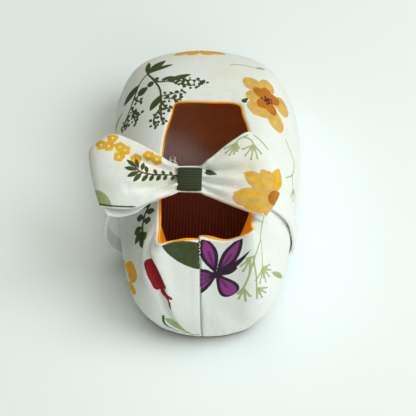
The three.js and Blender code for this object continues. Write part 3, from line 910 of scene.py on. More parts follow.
def fold_height(points, normals, s):
    """How far the folds lift or sink each point of the wall."""
    lift = np.zeros(points.shape[:-1])
    for kind, path, height, width, reach in WALL_FOLDS:
        line = spline(path, np.linspace(0, 1, FOLD_POINTS))
        best, place, stretch, gap = nearest_on(wall_point(line[:, 0], line[:, 1], s), points)
        fade = smooth(0, 0.25, place) * smooth(1.0, 0.7, place)
        if kind == "soft":
            lift += height * (0.35 + 0.65 * fade) * hump(best, 0, width)
        else:
            across = best * np.sign((np.cross(stretch, gap) * normals).sum(-1))
            rise = 0.5 * (1 + np.tanh(across / (0.35 * width))) * hump(np.maximum(across, 0), 0, reach)
            sink = 0.45 * hump(across, -1.4 * width, 1.3 * width)
            lift += height * (0.3 + 0.7 * fade) * (rise - sink)
    return lift


# The heel's seam and the collar

SEAM_LEAN = (0.0023, 0.0114)
SEAM_DEPTH = 0.42
SEAM_WIDTH = 0.0022
SEAM_RISE = {"outer": 1.2, "inner": 0.1, "reach": 0.03}
CORNER_RISE = (0.5, 1.6, 5.2)
CORNER_PLACE = 0.136
CORNER_REACH = 0.054


def seam_turn(up):
    """Where the heel's seam runs: it leans to the inner side."""
    return -lerp(*SEAM_LEAN, up)


def past_seam(turn, up):
    """Turn from the heel's seam, above 0 on the outer side."""
    return (turn - seam_turn(up) + 0.5) % 1 - 0.5


def collar_rise(turn, upward):
    """How far the collar stands up beside the heel's seam and, leaning out, at the outer corner."""
    past = past_seam(turn, 1.0)[..., None]
    beside_seam = np.where(past > 0, SEAM_RISE["outer"], SEAM_RISE["inner"]) * hump(past, 0, SEAM_RISE["reach"])
    corner = np.where(past > 0, 1, 0) * np.exp(-(np.abs(past - CORNER_PLACE) / CORNER_REACH) ** 2.4)
    return beside_seam * upward + corner * np.array(CORNER_RISE)


# Upper

GIRTH = 2.6
UPPER_AROUND = 632
OUTER_ROWS = 124
RIM_ROWS = 8
INNER_ROWS = 20
RIM_ANGLE = 80
PUCKERS = 61
HEM_DROP = 0.5
INNER_SLACK = 0.25


def wall_lift(outer, normal, turn, up, s):
    """How far the cloth stands off the plain wall: folds, puckers, waves and the seam's groove."""
    lift = fold_height(outer, normal, s)
    circle = turn * 2 * math.pi
    lift += 0.16 * np.sin(circle * PUCKERS + 2 * np.sin(circle * 7)) * np.exp(-up / 0.07)
    lift += 0.1 * np.sin(circle * 43) * np.exp(-(1 - up) / 0.05)
    lift += 0.22 * np.sin(circle * 5 + 1.1) * np.sin(up * 7 + turn * 9)
    heel = np.abs(past_seam(turn, up))
    lift -= SEAM_DEPTH * hump(heel, 0, SEAM_WIDTH)
    lift += 0.1 * hump(heel, 0.012, 0.006)
    return lift * (smooth(1.0, 0.9, up) * 0.75 + 0.25) * smooth(0, 0.03, up)


def upper_shape(s):
    """The printed cloth's points: up the outside, over the collar, down inside and under the foot."""
    turn = (np.arange(UPPER_AROUND) / UPPER_AROUND)[:, None]
    turn, up = np.broadcast_arrays(turn, np.linspace(0, 1, OUTER_ROWS)[None])
    wall, cloth = s["wall"], s["cloth"]
    outer, normal = wall_point(turn, up, s), wall_axes(turn, up, s)[2]
    lift = wall_lift(outer, normal, turn, up, s)
    _, upward, out = wall_axes(turn[:, -1:], up[:, -1:], s)
    rise = collar_rise(turn, upward) * smooth(0.7, 1.0, up)[..., None]
    hem = smooth(0.05, 0.0, up)[..., None]
    worn = outer + normal * lift[..., None] + rise + hem * (normal - np.array([0, 0, 1])) * HEM_DROP
    angle = np.linspace(0, math.radians(RIM_ANGLE), RIM_ROWS + 1)[None, 1:, None]
    rim = worn[:, -1:] + wall / 2 * ((np.cos(angle) - 1) * out + np.sin(angle) * upward)
    row = np.rint(np.linspace(0.985, 0.02, INNER_ROWS) * (OUTER_ROWS - 1)).astype(int)
    sunk = np.minimum(lift, 0)[:, row, None]
    inner = outer[:, row] + normal[:, row] * (sunk - cloth - INNER_SLACK) + rise[:, row]
    share, raised = np.array([[0.75, 0], [0.4, 0.1], [0.1, 0]]).T[:, None, :, None]
    foot = lerp(inner[:, -1:], worn[:, :1], 1 - share) + raised * np.array([0, 0, 1])
    return np.concatenate([worn, rim, inner, foot], axis=1)


def run_across(grid):
    """The mean distance from a band's first row to each of its rows."""
    steps = np.linalg.norm(np.diff(grid.mean(axis=0), axis=0), axis=-1)
    return np.concatenate([[0], np.cumsum(steps)])


def make_upper():
    """The printed cloth, wrapped round the foot and turned over the collar."""
    s = sizes()
    grid = upper_shape(s)
    piece, i, j = ring_of_cloth("upper_cloth", grid)
    outside = j < OUTER_ROWS + RIM_ROWS
    turn = i / UPPER_AROUND
    up = np.clip(j / (OUTER_ROWS - 1), 0, 1)
    store_map(piece, turn * GIRTH * s["sole_length"], run_across(grid)[j])
    plain = np.where((j < OUTER_ROWS)[:, None], wall_point(turn, up, s), grid[i, j])
    print_wall(piece, turn, up, plain, outside, s)
    from_seam = np.abs(past_seam(turn, up)) * 1.35 * s["sole_length"]
    store(piece, "seam_near", np.where(outside, np.maximum(0, 1 - from_seam / 0.55), 0))
    finish_piece(piece, "upper", printed_cotton("printed cotton", 0.1))


# Lining: turn, and how far in from the wall its foot hangs

LINING_AROUND = 360
LINING_STEPS = 60
LINING_BASE = (
    (0, 7.5), (0.06, 8), (0.125, 11.6), (0.19, 17.4), (0.24, 17.2), (0.27, 14.9), (0.31, 9.6), (0.37, 4),
    (0.5, 3.2), (0.63, 3.6), (0.69, 7), (0.717, 9.9), (0.77, 13.2), (0.81, 13.6), (0.875, 9.6), (0.94, 7.8),
    (1, 7.5),
)
LINING_GLOW = {"far": 0.036, "near": 0.014, "strength": 0.2}
LINING_SAG = 1.6
LINING_RIPPLE = 0.35
LINING_SINK = 0.4


def plate_level(y, s):
    """Height of the sock liner's top."""
    return underside(y, s) + s["sole_thickness"] + s["seam_gap"] + s["insole_thickness"]


def lining_shape(s):
    """The lining's points: over the collar's edge, loosely down to the sock liner, and back behind."""
    turn = (np.arange(LINING_AROUND) / LINING_AROUND)[:, None]
    circle = turn * 2 * math.pi
    _, upward, out = wall_axes(turn, 1.0, s)
    wall, cloth = s["wall"], s["cloth"]
    top, bottom = wall_point(turn, 1.0, s), wall_point(turn, 0.0, s)
    centre = top - out * wall / 2 + collar_rise(turn, upward)
    heel = np.abs(past_seam(turn, 1.0))
    peek = 0.1 + 0.36 * smooth(0.1, 0.2, heel) + 0.45 * hump(heel, 0.03, 0.024) + 0.06 * np.sin(circle * 19)
    angle = np.radians(np.linspace(70, 180, 9))[None, :, None]
    reach = wall / 2 + peek[..., None] * np.sin(angle) ** 3
    over = centre + reach * (np.cos(angle) * out + np.sin(angle) * upward)
    down = np.linspace(0, 1, LINING_STEPS + 1)[None, 1:]
    inner = wall_point(turn, 1 - down, s) - wall_axes(turn, 1 - down, s)[2] * wall
    inward = unit((top - bottom) * np.array([1, 1, 0]))
    inset = np.interp(turn[:, 0], *np.array(LINING_BASE).T)[:, None, None]
    base = bottom + inward * inset
    base[..., 2] = plate_level(base[..., 1], s) - LINING_SINK
    t = down[..., None]
    hugging = lerp(inner, base, smooth(0.75, 1.0, t))
    ripple = LINING_RIPPLE * np.sin(circle * 11 + 2 * down) * np.sin(math.pi * down)
    hanging = lerp(over[:, -1:], base, t) - inward * (LINING_SAG * np.sin(math.pi * t) + ripple[..., None])
    fall = lerp(hugging, hanging, smooth(5, 9, inset) * smooth(0, 0.12, t))
    face = np.concatenate([over, fall], axis=1)
    normal = unit(np.cross(next_minus_last(face), np.gradient(face, axis=1)))
    last = face.shape[1] - 1
    back_rows = np.array([last, last - 10, last - 22, last - 34, 30, 16, 6])
    outside = -1 if (normal[:, 20] * out[:, 0]).sum() < 0 else 1
    return np.concatenate([face, face[:, back_rows] + normal[:, back_rows] * cloth * outside], axis=1)


def lining_cloth():
    """Orange cotton that glows a little near the heel, as if daylight came through it."""
    c = colours()
    m = Paints("orange lining", Roughness=0.9, Specular_IOR_Level=0.08)
    m.shader.inputs["Emission Color"].default_value = (*c["lining"], 1)
    glow = m.remap(m.along(), LINING_GLOW["far"], LINING_GLOW["near"], 0.0, LINING_GLOW["strength"])
    m.tree.links.new(glow, m.shader.inputs["Emission Strength"])
    height, slubs = weave_height(m, m.cloth_map(), sizes()["weave"] * UV_SCALE)
    return m.finish(m.mix(m.remap(slubs, 0.8, 1.2), c["lining_deep"], c["lining"]), height, 0.08)


def make_lining():
    """The orange lining."""
    s = sizes()
    grid = lining_shape(s)
    piece, i, j = ring_of_cloth("lining", grid)
    store_map(piece, i / LINING_AROUND * 1.8 * s["sole_length"], run_across(grid)[j])
    finish_piece(piece, None, lining_cloth())


# Sole and sock liner

SOLE_AROUND = 256
SOLE_RINGS = 40
SOLE_EDGE = 8
SOLE_INSET = 0.1
EDGE_SOFTNESS = 0.5


def sole_shape(s):
    """The sole's points by ring: out over the top, round the edge and back underneath."""
    plain = section_at(np.arange(SOLE_AROUND) / SOLE_AROUND, s)[:, 0:2]
    out = outward(plain)
    middle = np.array([0, s["sole_length"] / 2 - s["heel_spot"]])
    radius = s["sole_edge_radius"] + EDGE_SOFTNESS
    flat_rim = plain - out * (SOLE_INSET + radius)
    half = SOLE_RINGS + SOLE_EDGE
    grid = np.zeros((SOLE_AROUND, 2 * half + 1, 3))
    for k in range(2 * half + 1):
        ring = min(k, 2 * half - k)
        bend = max(0, ring - SOLE_RINGS) / SOLE_EDGE * math.pi / 2
        at = lerp(middle, flat_rim, min(1, ring / SOLE_RINGS)) + out * radius * math.sin(bend)
        drop = radius * (1 - math.cos(bend))
        grid[:, k, 0:2] = at
        grid[:, k, 2] = underside(at[:, 1], s) + (s["sole_thickness"] - drop if k <= half else drop)
    grid[..., 0] += swing(grid[..., 1], s)
    return grid


def brushed_cloth():
    """The sole's tan nap, worn in patches."""
    c = colours()
    m = Paints("brushed sole", Roughness=0.92, Sheen_Weight=0.35, Sheen_Roughness=0.5,
               Specular_IOR_Level=0.2)
    nap = m.noise(m.place(), 1500.0, 4.0, 0.7, (1, 0.45, 1))
    colour = m.mix(m.remap(nap, 0.35, 0.65), c["sole_deep"], c["sole"])
    colour = m.mix(m.remap(m.noise(m.place(), 45.0, 3.0), 0.45, 0.7, 0.0, 0.35), colour, c["sole_deep"])
    return m.finish(colour, nap, 0.16)


def make_sole():
    """The brushed sole."""
    piece = capped_tube("sole_cloth", sole_shape(sizes()))[0]
    finish_piece(piece, "outsole", brushed_cloth())


RIB_PITCH = 1.15
RIB_HEIGHT = 0.2
SOCK_OUTLINE = 720
SOCK_TOP = 260
SOCK_EDGE = 6
SOCK_UNDER = 24
SOCK_ALONG = 150


def sock_shape(s):
    """The sock liner's points: across its ribbed top, round the edges and back underneath."""
    half = SOCK_OUTLINE // 2
    plain = section_at(np.arange(SOCK_OUTLINE) / SOCK_OUTLINE, s)[:, 0:2]
    rim = plain - outward(plain) * (s["wall"] + s["insole_clearance"])
    right, left = rim[:half + 1], np.concatenate([rim[:1], rim[:half - 1:-1]])
    back, front = rim[:, 1].min() + 0.02, rim[:, 1].max() - 0.02
    y = lerp(back, front, (1 - np.cos(math.pi * np.linspace(0, 1, SOCK_ALONG + 1))) / 2)
    x_right, x_left = (np.interp(y, run[:, 1], run[:, 0]) for run in (right, left))
    side = np.linspace(0.9, 0.1, SOCK_EDGE)
    edge = np.ones(SOCK_EDGE)
    across = [np.linspace(-1, 1, SOCK_TOP), edge, np.linspace(1, -1, SOCK_UNDER), -edge]
    across = np.concatenate(across)[:, None]
    level = np.concatenate([np.ones(SOCK_TOP), side, np.zeros(SOCK_UNDER), side[::-1]])[:, None]
    bulge = np.where(np.abs(across) == 1, np.sin(math.pi * level), 0)
    x = lerp(x_left[None], x_right[None], (across + 1) / 2)
    x = x + np.sign(across) * 0.5 * (bulge - (np.abs(across) > 0.97))
    fade = lerp(1.0, 0.08, smooth(18, 42, y))[None]
    ribs = RIB_HEIGHT * fade * np.cos(2 * math.pi * x / RIB_PITCH)
    ribs = ribs * smooth(1.0, 0.9, np.abs(across)) * (level == 1)
    z = underside(y, s)[None] + s["sole_thickness"] + s["seam_gap"] + s["insole_thickness"] * level + ribs
    y = np.broadcast_to(y[None], x.shape)
    return np.stack([x + swing(y, s), y, z], -1)


def ribbed_pile():
    """Brown pile, with painted shade between the ribs near the heel and a pale greyish painted sheen towards the
    toe.
    """
    c = colours()
    m = Paints("sock liner", Roughness=0.75, Sheen_Weight=0.06, Sheen_Roughness=0.35,
               Specular_IOR_Level=0.12)
    place, along = m.place(), m.along()
    pile = m.noise(place, 1400.0, 4.0, 0.7, (1, 0.5, 1))
    colour = m.mix(m.remap(pile, 0.15, 0.95), c["sock_deep"], c["sock"])
    # Painted shade between the ribs, strongest near the heel, where the bow and the heel's wall shade the sock
    # liner.
    painted_rib_shade = m.math("MULTIPLY", m.wave(place, "X", RIB_PITCH * MM), m.remap(along, 0.045, 0.025, 0.0, 0.75))
    colour = m.mix(painted_rib_shade, colour, shaded(c["sock_deep"], 0.45))
    # Painted sheen: towards the toe the pile turns pale and greyish, for the light that falls in through the
    # opening.
    worn = m.mix(m.remap(pile, -0.9, 0.5), c["sock"], c["sock_worn"])
    colour = m.mix(m.remap(along, 0.046, 0.07, smooth_it=True), colour, worn)
    colour = m.mix(m.remap(m.noise(place, 50.0, 3.0), 0.4, 0.7, 0.0, 0.2), colour, c["sock_deep"])
    return m.finish(colour, pile, 0.1)


def make_sock():
    """The sock liner with its lengthwise ribs."""
    piece = capped_tube("sock_liner", sock_shape(sizes()))[0]
    finish_piece(piece, "insole", ribbed_pile())


# Elastic: heights of its feet, and its arch as shares of the widest place and of the top, and as turn

STRAP_FEET = {"left": (0.075, 0.1), "right": (0.075, 0.1, 0.18, 0.27, 0.36, 0.45)}
STRAP_LEFT = (
    (-1.06, 0.21, 0), (-1.12, 0.31, 0), (-1.125, 0.42, 0), (-1.075, 0.62, 0.15), (-0.93, 0.82, 0.5),
    (-0.6, 0.955, 0.9),
)
STRAP_RIGHT = ((0.24, 0.97, 0.95), (0.545, 0.872, 0.7), (0.775, 0.735, 0.4), (0.91, 0.59, 0.1))
STRAP_WIDEST = 0.27
STRAP_LEAN = 1.3
BOW_OFFSET = -5.35
BOW_TILT = 32
STRAP_ALONG = 240
STRAP_SECTION = 48
STRAP_MAP = 120.0
STRAP_ROUNDING = 0.34
CORD_HEIGHT = 0.05
BEND_STEPS = 5


def rounded_section(count, half_wide, half_thick, radius):
    """Points round a flat band's cross-section, close together at its rounded edges."""
    flat = count // 2 - 2 * BEND_STEPS
    bend = np.linspace(0, math.pi / 2, BEND_STEPS)
    wide, thick = [], []
    for turn, x, y in ((0, 1, 1), (1, -1, 1), (2, -1, -1), (3, 1, -1)):
        wide.append(x * (half_wide - radius) + radius * np.cos(bend + turn * math.pi / 2))
        thick.append(y * (half_thick - radius) + radius * np.sin(bend + turn * math.pi / 2))
        if turn in (0, 2):
            wide.append(np.linspace(1, -1, flat + 2)[1:-1] * x * (half_wide - radius))
            thick.append(np.full(flat, y * half_thick))
    return np.concatenate(wide), np.concatenate(thick)


def wall_at(side, y, z, s):
    """Where the wall is at a place along the shoe and a height, on one side."""
    ups = np.linspace(0, 0.7, 141)
    turns = np.linspace(0.02, 0.48, 231) + (0 if side > 0 else 0.5)
    grid = wall_point(turns[:, None], ups[None, :], s)
    miss = np.hypot(grid[..., 1] - y, grid[..., 2] - z)
    a, b = np.unravel_index(miss.argmin(), miss.shape)
    return grid[a, b], wall_axes(turns[a], ups[b], s)[2]


def strap_edges(s):
    """The elastic's two edges from the left foot over the bow to the right foot."""
    top = s["heel_height"] + s["strap_rise"]
    station = s["strap_from_heel"] - s["heel_spot"]
    half = s["strap_width"] / 2
    clear = s["seam_gap"] + s["strap_thickness"] / 2
    widest = wall_at(1, station, STRAP_WIDEST * top, s)[0][0] + clear

    def foot(side, up):
        found = [wall_at(side, station + lean * half, up * top, s) for lean in (-1, 1)]
        return [point + out * clear for point, out in found]

    def arch(out, up, turn):
        angle = math.radians(BOW_TILT) * turn
        at = np.array([out * widest, station - STRAP_LEAN * turn, up * top])
        across = np.array([0, half * math.cos(angle), half * math.sin(angle)])
        return [at - across, at + across]

    rows = [foot(-1, up) for up in STRAP_FEET["left"]]
    rows += [arch(*row) for row in (*STRAP_LEFT, (BOW_OFFSET / widest, 1, 1), *STRAP_RIGHT)]
    rows += [foot(1, up) for up in reversed(STRAP_FEET["right"])]
    return np.array(rows)


def elastic_shape(s):
    """The elastic's points round its section and along its run."""
    rows = strap_edges(s)
    shares = np.linspace(0, 1, STRAP_ALONG + 1)
    near, far = spline(rows[:, 0], shares), spline(rows[:, 1], shares)
    middle = (near + far) / 2
    across = unit(far - near)
    out = unit(np.cross(unit(np.gradient(middle, axis=0)), across))
    half = s["strap_width"] / 2
    wide, thick = rounded_section(STRAP_SECTION, half, s["strap_thickness"] / 2 - 0.04, STRAP_ROUNDING)
    cords = CORD_HEIGHT * np.cos(wide / half * 8 * math.pi)
    wide = wide[:, None] * (np.linalg.norm(far - near, axis=-1)[None, :] / 2) / half
    thick = (thick + np.sign(thick) * cords)[:, None, None]
    grid = middle[None] + across[None] * wide[..., None] + out[None] * thick
    grid[:, 0], grid[:, -1] = middle[0], middle[-1]
    return grid


def woven_elastic():
    """White elastic with fine picks across it."""
    c = colours()
    m = Paints("white elastic", Roughness=0.7, Sheen_Weight=0.15, Sheen_Roughness=0.4,
               Specular_IOR_Level=0.35)
    picks = m.wave(m.cloth_map(), "Y", 0.06, 0.2)
    mottle = m.noise(m.cloth_map(), 20.0, 3.0)
    # Darker where the picks sink: painted shade in their grooves, broken by a random mottle.
    light = m.remap(m.math("MULTIPLY", picks, mottle), 0.0, 0.6)
    return m.finish(m.mix(light, shaded(c["elastic"], 0.82), c["elastic"]), picks, 0.04)


def make_elastic():
    """The white elastic over the opening."""
    s = sizes()
    piece, i, j = capped_tube("elastic", elastic_shape(s))
    store_map(piece, i / STRAP_SECTION * 2 * s["strap_width"], j / STRAP_ALONG * STRAP_MAP)
    finish_piece(piece, "strap", woven_elastic())


# Bow: outlines of its two lobes in its own plane, from the knot outwards

LOBES = {
    -1: {
        "top": ((3.6, 3.4), (8, 6.2), (13, 9.2), (19, 12), (24.5, 13.7), (29, 12.6)),
        "bottom": ((3.6, -3.4), (8.5, -5.6), (13, -7.6), (17, -9.4), (22.5, -9.8), (28.6, -9)),
        "tip": ((28.6, -9), (30.2, -4.6), (31.5, 0), (32.4, 4.6), (32.4, 9), (29, 12.6)),
    },
    1: {
        "top": ((3.4, 3.6), (7, 7), (11.4, 10.9), (15.9, 14.2), (18, 15.4), (19.8, 15.7)),
        "bottom": ((3.4, -3.6), (7, -5), (11, -6.6), (16.6, -8.6), (20.6, -9.9), (24.9, -11)),
        "tip": ((24.9, -11), (27.8, -6.6), (29.2, -2.6), (29.4, 1.4), (27.4, 7), (24, 12), (19.8, 15.7)),
    },
}
BOW_FRONT = {-1: 3.6, 1: 3.4}
BOW_BACK = 1.5
BOW_REACH = (31, 29)
KNOT_HALF = 1.3
BOW_AROUND = 480
BOW_FRONT_COUNT = 272
BOW_FACE = 92
BOW_EDGE = 5
BOW_INNER = 22
BOW_CORNER = (0.9, -2.6)
BOW_FOLD_POINTS = 14
BOW_SPAN = 60
BLOSSOM_SPAN = 4

# Folds of the bow: lobe, path in its plane, height of the fold and half width

BOW_FOLDS = (
    (-1, ((4, 0.4), (8.5, -2.2), (14, -3.4), (19, -3.6)), -2.5, 1.1),
    (-1, ((4, 2.4), (10, 3.6), (17, 5.4), (22, 7)), -1.7, 1.2),
    (-1, ((4, 1.4), (9, 0.8), (15, 1)), 0.9, 1.1),
    (-1, ((4, -1.8), (9, -4.4), (15, -6.4)), 1.1, 1.3),
    (-1, ((4, -2.8), (8, -4.4), (12, -6.6)), -0.9, 0.8),
    (-1, ((6, 4.4), (12, 7.4), (18, 10)), 1.0, 1.4),
    (-1, ((18, 0), (23, -3), (27, -5)), 0.5, 3.0),
    (1, ((4, 2.8), (10, 3.2), (18, 3.6)), -2.3, 1.3),
    (1, ((4.4, -0.2), (9.5, -1.2), (15, -2.4)), -1.2, 1.0),
    (1, ((4, 1.4), (11, 1.2), (18, 0.6)), 0.8, 1.3),
    (1, ((4, -2), (8, -4), (13, -6)), -0.7, 0.9),
    (1, ((6, 5.6), (12, 8), (17, 10)), 0.9, 1.8),
)


def lobe_plan(side, reach, level):
    """A place in the bow's plane: reach from the knot to the tip, level from -1 to 1."""
    top_path, bottom_path, tip_path = (np.array(LOBES[side][edge]) for edge in ("top", "bottom", "tip"))
    waist = np.stack([np.full(level.shape, top_path[0, 0]), level * top_path[0, 1]], -1)
    a, b = (level + 1)[..., None] / 2, reach[..., None]
    edges = lerp(waist, spline(tip_path, (level + 1) / 2), b)
    edges = edges + lerp(spline(bottom_path, reach), spline(top_path, reach), a)
    corners = lerp(lerp(bottom_path[0], bottom_path[-1], b), lerp(top_path[0], top_path[-1], b), a)
    return (edges - corners) * np.array([side, 1])


def bow_close(far):
    """How the loops close at their tips, 1 at the knot and 0 at the tip."""
    return np.sqrt(np.maximum(0, 1 - far ** 6))


def bow_swell(far):
    """How the loops open from the knot."""
    return np.sin(np.minimum(1, far / 0.6) * math.pi / 2)


def bow_reach():
    """Each column's reach, -1 and 1 at the tips, evenly along the cloth: the front, then the back."""
    fine = np.linspace(-1, 1, 2001)
    flat = fine * np.where(fine < 0, *BOW_REACH)
    runs = []
    for bulge in (sum(BOW_FRONT.values()) / 2, BOW_BACK):
        z = bow_close(np.abs(fine)) * (KNOT_HALF + bulge * bow_swell(np.abs(fine)))
        runs.append(np.concatenate([[0], np.cumsum(np.hypot(np.diff(flat), np.diff(z)))]))
    front = np.linspace(runs[0][-1], 0, BOW_FRONT_COUNT, endpoint=False)
    back = np.linspace(0, runs[1][-1], BOW_AROUND - BOW_FRONT_COUNT, endpoint=False)
    return np.concatenate([np.interp(front, runs[0], fine), np.interp(back, runs[1], fine)])


def bow_lift(plan, reach, level, close):
    """The height of the bow's folds and of the gathers at its knot."""
    lift = np.zeros(level.shape)
    for side, path, height, width in BOW_FOLDS:
        best, place, _, _ = nearest_on(spline(path, np.linspace(0, 1, BOW_FOLD_POINTS)) * np.array([side, 1]), plan)
        fade = smooth(1.0, 0.45, place)
        lift += height * (0.25 + 0.75 * fade) * hump(best, 0, width * (0.8 + 0.7 * place))
    away = np.abs(plan[..., 0])
    gathers = np.cos(level * math.pi * 3.4 + reach * 4) * np.exp(-away / 7) * smooth(3.4, 6, away)
    return lift + gathers * close


def bow_shape(s):
    """The band in the bow's plane: the front from right tip to left, the back, and across it."""
    is_front = (np.arange(BOW_AROUND) < BOW_FRONT_COUNT)[:, None]
    reach, level = np.broadcast_arrays(bow_reach()[:, None], np.linspace(-1, 1, BOW_FACE)[None, :])
    far = np.abs(reach)
    plan = np.where((reach < 0)[..., None], lobe_plan(-1, far, level), lobe_plan(1, far, level))
    bulge = np.where(is_front, np.where(reach < 0, BOW_FRONT[-1], BOW_FRONT[1]), BOW_BACK)
    close = bow_close(far)
    z = close * (KNOT_HALF + bulge * bow_swell(far) * (0.3 + 0.7 * (1 - level ** 2)))
    z = z + bow_lift(plan, reach, level, close) * close * np.where(is_front, 1, 0.4)
    back_weight = np.where(is_front, 0, smooth(0.0, 0.05, 1 - far))
    corner = smooth(0.35, 0.95, far) * smooth(-0.2, -1.0, level) * back_weight * (reach < 0)
    plan = plan + corner[..., None] * np.array(BOW_CORNER)
    outer = np.concatenate([plan, np.where(is_front, z, -z)[..., None]], -1)
    normal = unit(np.cross(np.gradient(outer, axis=1), next_minus_last(outer)))
    if normal[BOW_FRONT_COUNT // 2, BOW_FACE // 2, 2] < 0:
        normal = -normal
    thick = s["bow_cloth"]
    row = np.rint(np.linspace(BOW_FACE - 1, 0, BOW_INNER)).astype(int)
    inner = outer[:, row] - normal[:, row] * thick

    def edge(face_row, inner_row):
        turn = np.linspace(0, math.pi, BOW_EDGE + 2)[None, 1:-1, None]
        a, b = face_row[:, None], inner_row[:, None]
        swell = unit(a - outer[:, [BOW_FACE // 2]]) * thick * 0.5
        return lerp(a, b, (1 - np.cos(turn)) / 2) + swell * np.sin(turn)

    upper_edge, lower_edge = edge(outer[:, -1], inner[:, 0]), edge(inner[:, -1], outer[:, 0])
    return np.concatenate([outer, upper_edge, inner, lower_edge], axis=1)


def bow_place(local, s):
    """From the bow's own plane to the shoe."""
    tilt = math.radians(BOW_TILT)
    up = np.array([0, math.cos(tilt), math.sin(tilt)])
    out = np.array([0, -math.sin(tilt), math.cos(tilt)])
    station = s["strap_from_heel"] - s["heel_spot"] - STRAP_LEAN
    lift = s["strap_thickness"] / 2 + s["seam_gap"] + s["bow_cloth"] + KNOT_SLACK
    origin = np.array([BOW_OFFSET, station, s["heel_height"] + s["strap_rise"]]) + out * lift
    return origin + local[..., 0:1] * np.array([1, 0, 0]) + local[..., 1:2] * up + local[..., 2:3] * out


def yellow_blossom(patch, start):
    """Five small bright petals, turned by the angle start."""
    for k in range(5):
        angle = 1.257 * k + start
        patch.fronds("blossom", 1.1, 0.6, (polar(angle, 0.3), polar(angle, 1.95, 1.7), 1.75))


def bow_sprigs(patch):
    """The left loop's twig and leaf, and the right loop's gold flower and umbels."""
    patch.stems("leaf", 0.5, ((-17.4, 3.2), (-15.4, 1.6), (-11.6, 0.9), (-7.6, 1), (-3.8, 1.2)),
                ((-30.6, -8.2), (-24.4, -9.2), (-17, -9.4)))
    patch.fronds("leaf", 1.1, 0.85,
                 ((-16.8, 3), (-20.2, 5.6), 1.4), ((-16.2, 2.6), (-17.4, 6.2), 1.3),
                 ((-16.4, 2.3), (-20.8, 2.9), 1.4), ((-15.8, 1.8), (-19.8, 0), 1.5),
                 ((-15, 1.5), (-17.8, -1.6), 1.4), ((-15.2, 2), (-14.8, 5), 1.3),
                 ((-13.4, 1.2), (-14, 3.8), 1.3), ((-13, 1), (-15.2, -1.4), 1.3),
                 ((-11.2, 0.9), (-12.8, -1.2), 1.2), ((-10.4, 0.9), (-11.4, 2.9), 1.2),
                 ((-9, 0.9), (-10.6, -0.9), 1.2), ((-8, 0.9), (-8.8, 2.7), 1.2),
                 ((-7, 1), (-8.4, -0.6), 1.1), ((-5.6, 1), (-6.4, 2.5), 1.1), ((-4.8, 1), (-6, -0.5), 1.1))
    patch.fronds("stem", 1, 0.8, ((-32.4, -4.2), (-24.4, -9.8), 4.4))
    patch.fronds("leaf", 1, 1, ((3.8, 3.1), (8.8, 1.6), 1.9))
    patch.fronds("petal", 1.4, 0.55,
                 ((26.8, -4), (17.6, 2.2), 4.8), ((27.2, -4), (22.8, 3.4), 3.4),
                 ((27.6, -3.6), (28.4, 4), 4.4), ((26.4, -5), (13.8, -5.8), 6),
                 ((26, -6.4), (18.6, -10), 5.2), ((27, -6), (25, -12), 4))
    patch.stems("blossom", 0.9,
                ((17.6, 2), (20, 1.2), (23.4, -1.6)), ((25, 2.6), (27, 1.2), (27.4, -1.6)),
                ((14.4, -4.2), (18, -4), (23, -4.6)), ((17.8, -8.4), (20.4, -9), (23.4, -8.6)),
                ((28.6, 2.6), (28.8, 0), (28.2, -2.6)))
    patch.discs("heart", 2.3, (27.4, -5.4))
    patch.umbel((14.8, 12), (11, 10), (11.4, 8.6), (12.6, 7.8), (14, 8.2), (15, 9.2))
    patch.umbel((20.2, 11.4), (16.8, 9.8), (17.6, 7.8), (19.4, 6.6), (21.4, 7), (22.6, 8.6))
    patch.thin_stems(((18, 14.4), (15.6, 13.2), (14.6, 12)), ((17.4, 13.8), (19.2, 13), (20.2, 11.4)),
                     ((20.4, 14.6), (22.6, 12.8), (24.6, 10.4)), ((14.6, 12), (15.6, 10.2)))


BLOSSOMS = ((-25, 12.6), (-28.5, 10.2), (-26, 9.8), (-22.4, 9.6), (-20.8, 8.6), (-22.6, 6.4), (-17.2, 5.9),
            (-13.2, 7.0), (-10.6, 5.8))


def make_bow():
    """The bow of printed cloth."""
    s = sizes()
    local = bow_shape(s)
    piece, i, j = ring_of_cloth("bow_cloth", bow_place(local, s))
    flat = local[i, j] * np.array([1, 1, 0])
    store_map(piece, flat[:, 0], flat[:, 1])
    cloth = Print(flat, (j < BOW_FACE) & (i < BOW_FRONT_COUNT))
    x_axis, y_axis = np.array([1, 0, 0]), np.array([0, 1, 0])
    for x, y in BLOSSOMS:
        yellow_blossom(cloth.patch(np.array([x, y, 0]), x_axis, y_axis, BLOSSOM_SPAN), x)
    bow_sprigs(cloth.patch(np.zeros(3), x_axis, y_axis, BOW_SPAN))
    cloth.keep(piece)
    # The bow's cloth gets more creamy drift than the wall's: painted warm shade for its folds, laid at random.
    finish_piece(piece, "bow", printed_cotton("bow cotton", 0.45))


# Stitches down the heel's seam, and the bow's loose ends in the bow's own plane

STITCHES = 10
STITCH_TOP = 0.985
STITCH_STEP = 0.0145
STITCH_HALF = 0.62
STITCH_LEAN = 0.16
STITCH_THREAD = {"radius": 0.2, "sides": 10, "steps": 12}
END_THREAD = {"radius": 0.09, "sides": 8, "steps": 40}
LOOSE_ENDS = (((-4, 3.6, 2), (-4.9, 5.2, 2.6), (-4.7, 6.6, 3.2), (-5.6, 7, 3)),
              ((-4.2, 3.4, 2), (-5.6, 4.6, 3), (-6.4, 6, 3.4), (-6, 7.2, 3)),
              ((-4, 3.6, 2.2), (-4.3, 5, 3.2), (-5.4, 5.8, 3.6), (-6.8, 5.6, 3.2)))


def thread_tube(path, radius, sides, steps):
    """A thin thread along a path of points, tapered at both ends."""
    share = np.linspace(0, 1, steps + 1)
    line = spline(path, share)
    along = unit(np.gradient(line, axis=0))
    aside = unit(np.cross(along, np.array([0.3, 0.2, 1.0])))
    over = np.cross(along, aside)
    angle = (np.arange(sides) / sides * 2 * math.pi)[:, None, None]
    ring = np.cos(angle) * aside + np.sin(angle) * over
    thick = radius * np.sqrt(np.sin(math.pi * share))
    return capped_tube("thread", line[None] + ring * thick[None, :, None])[0]


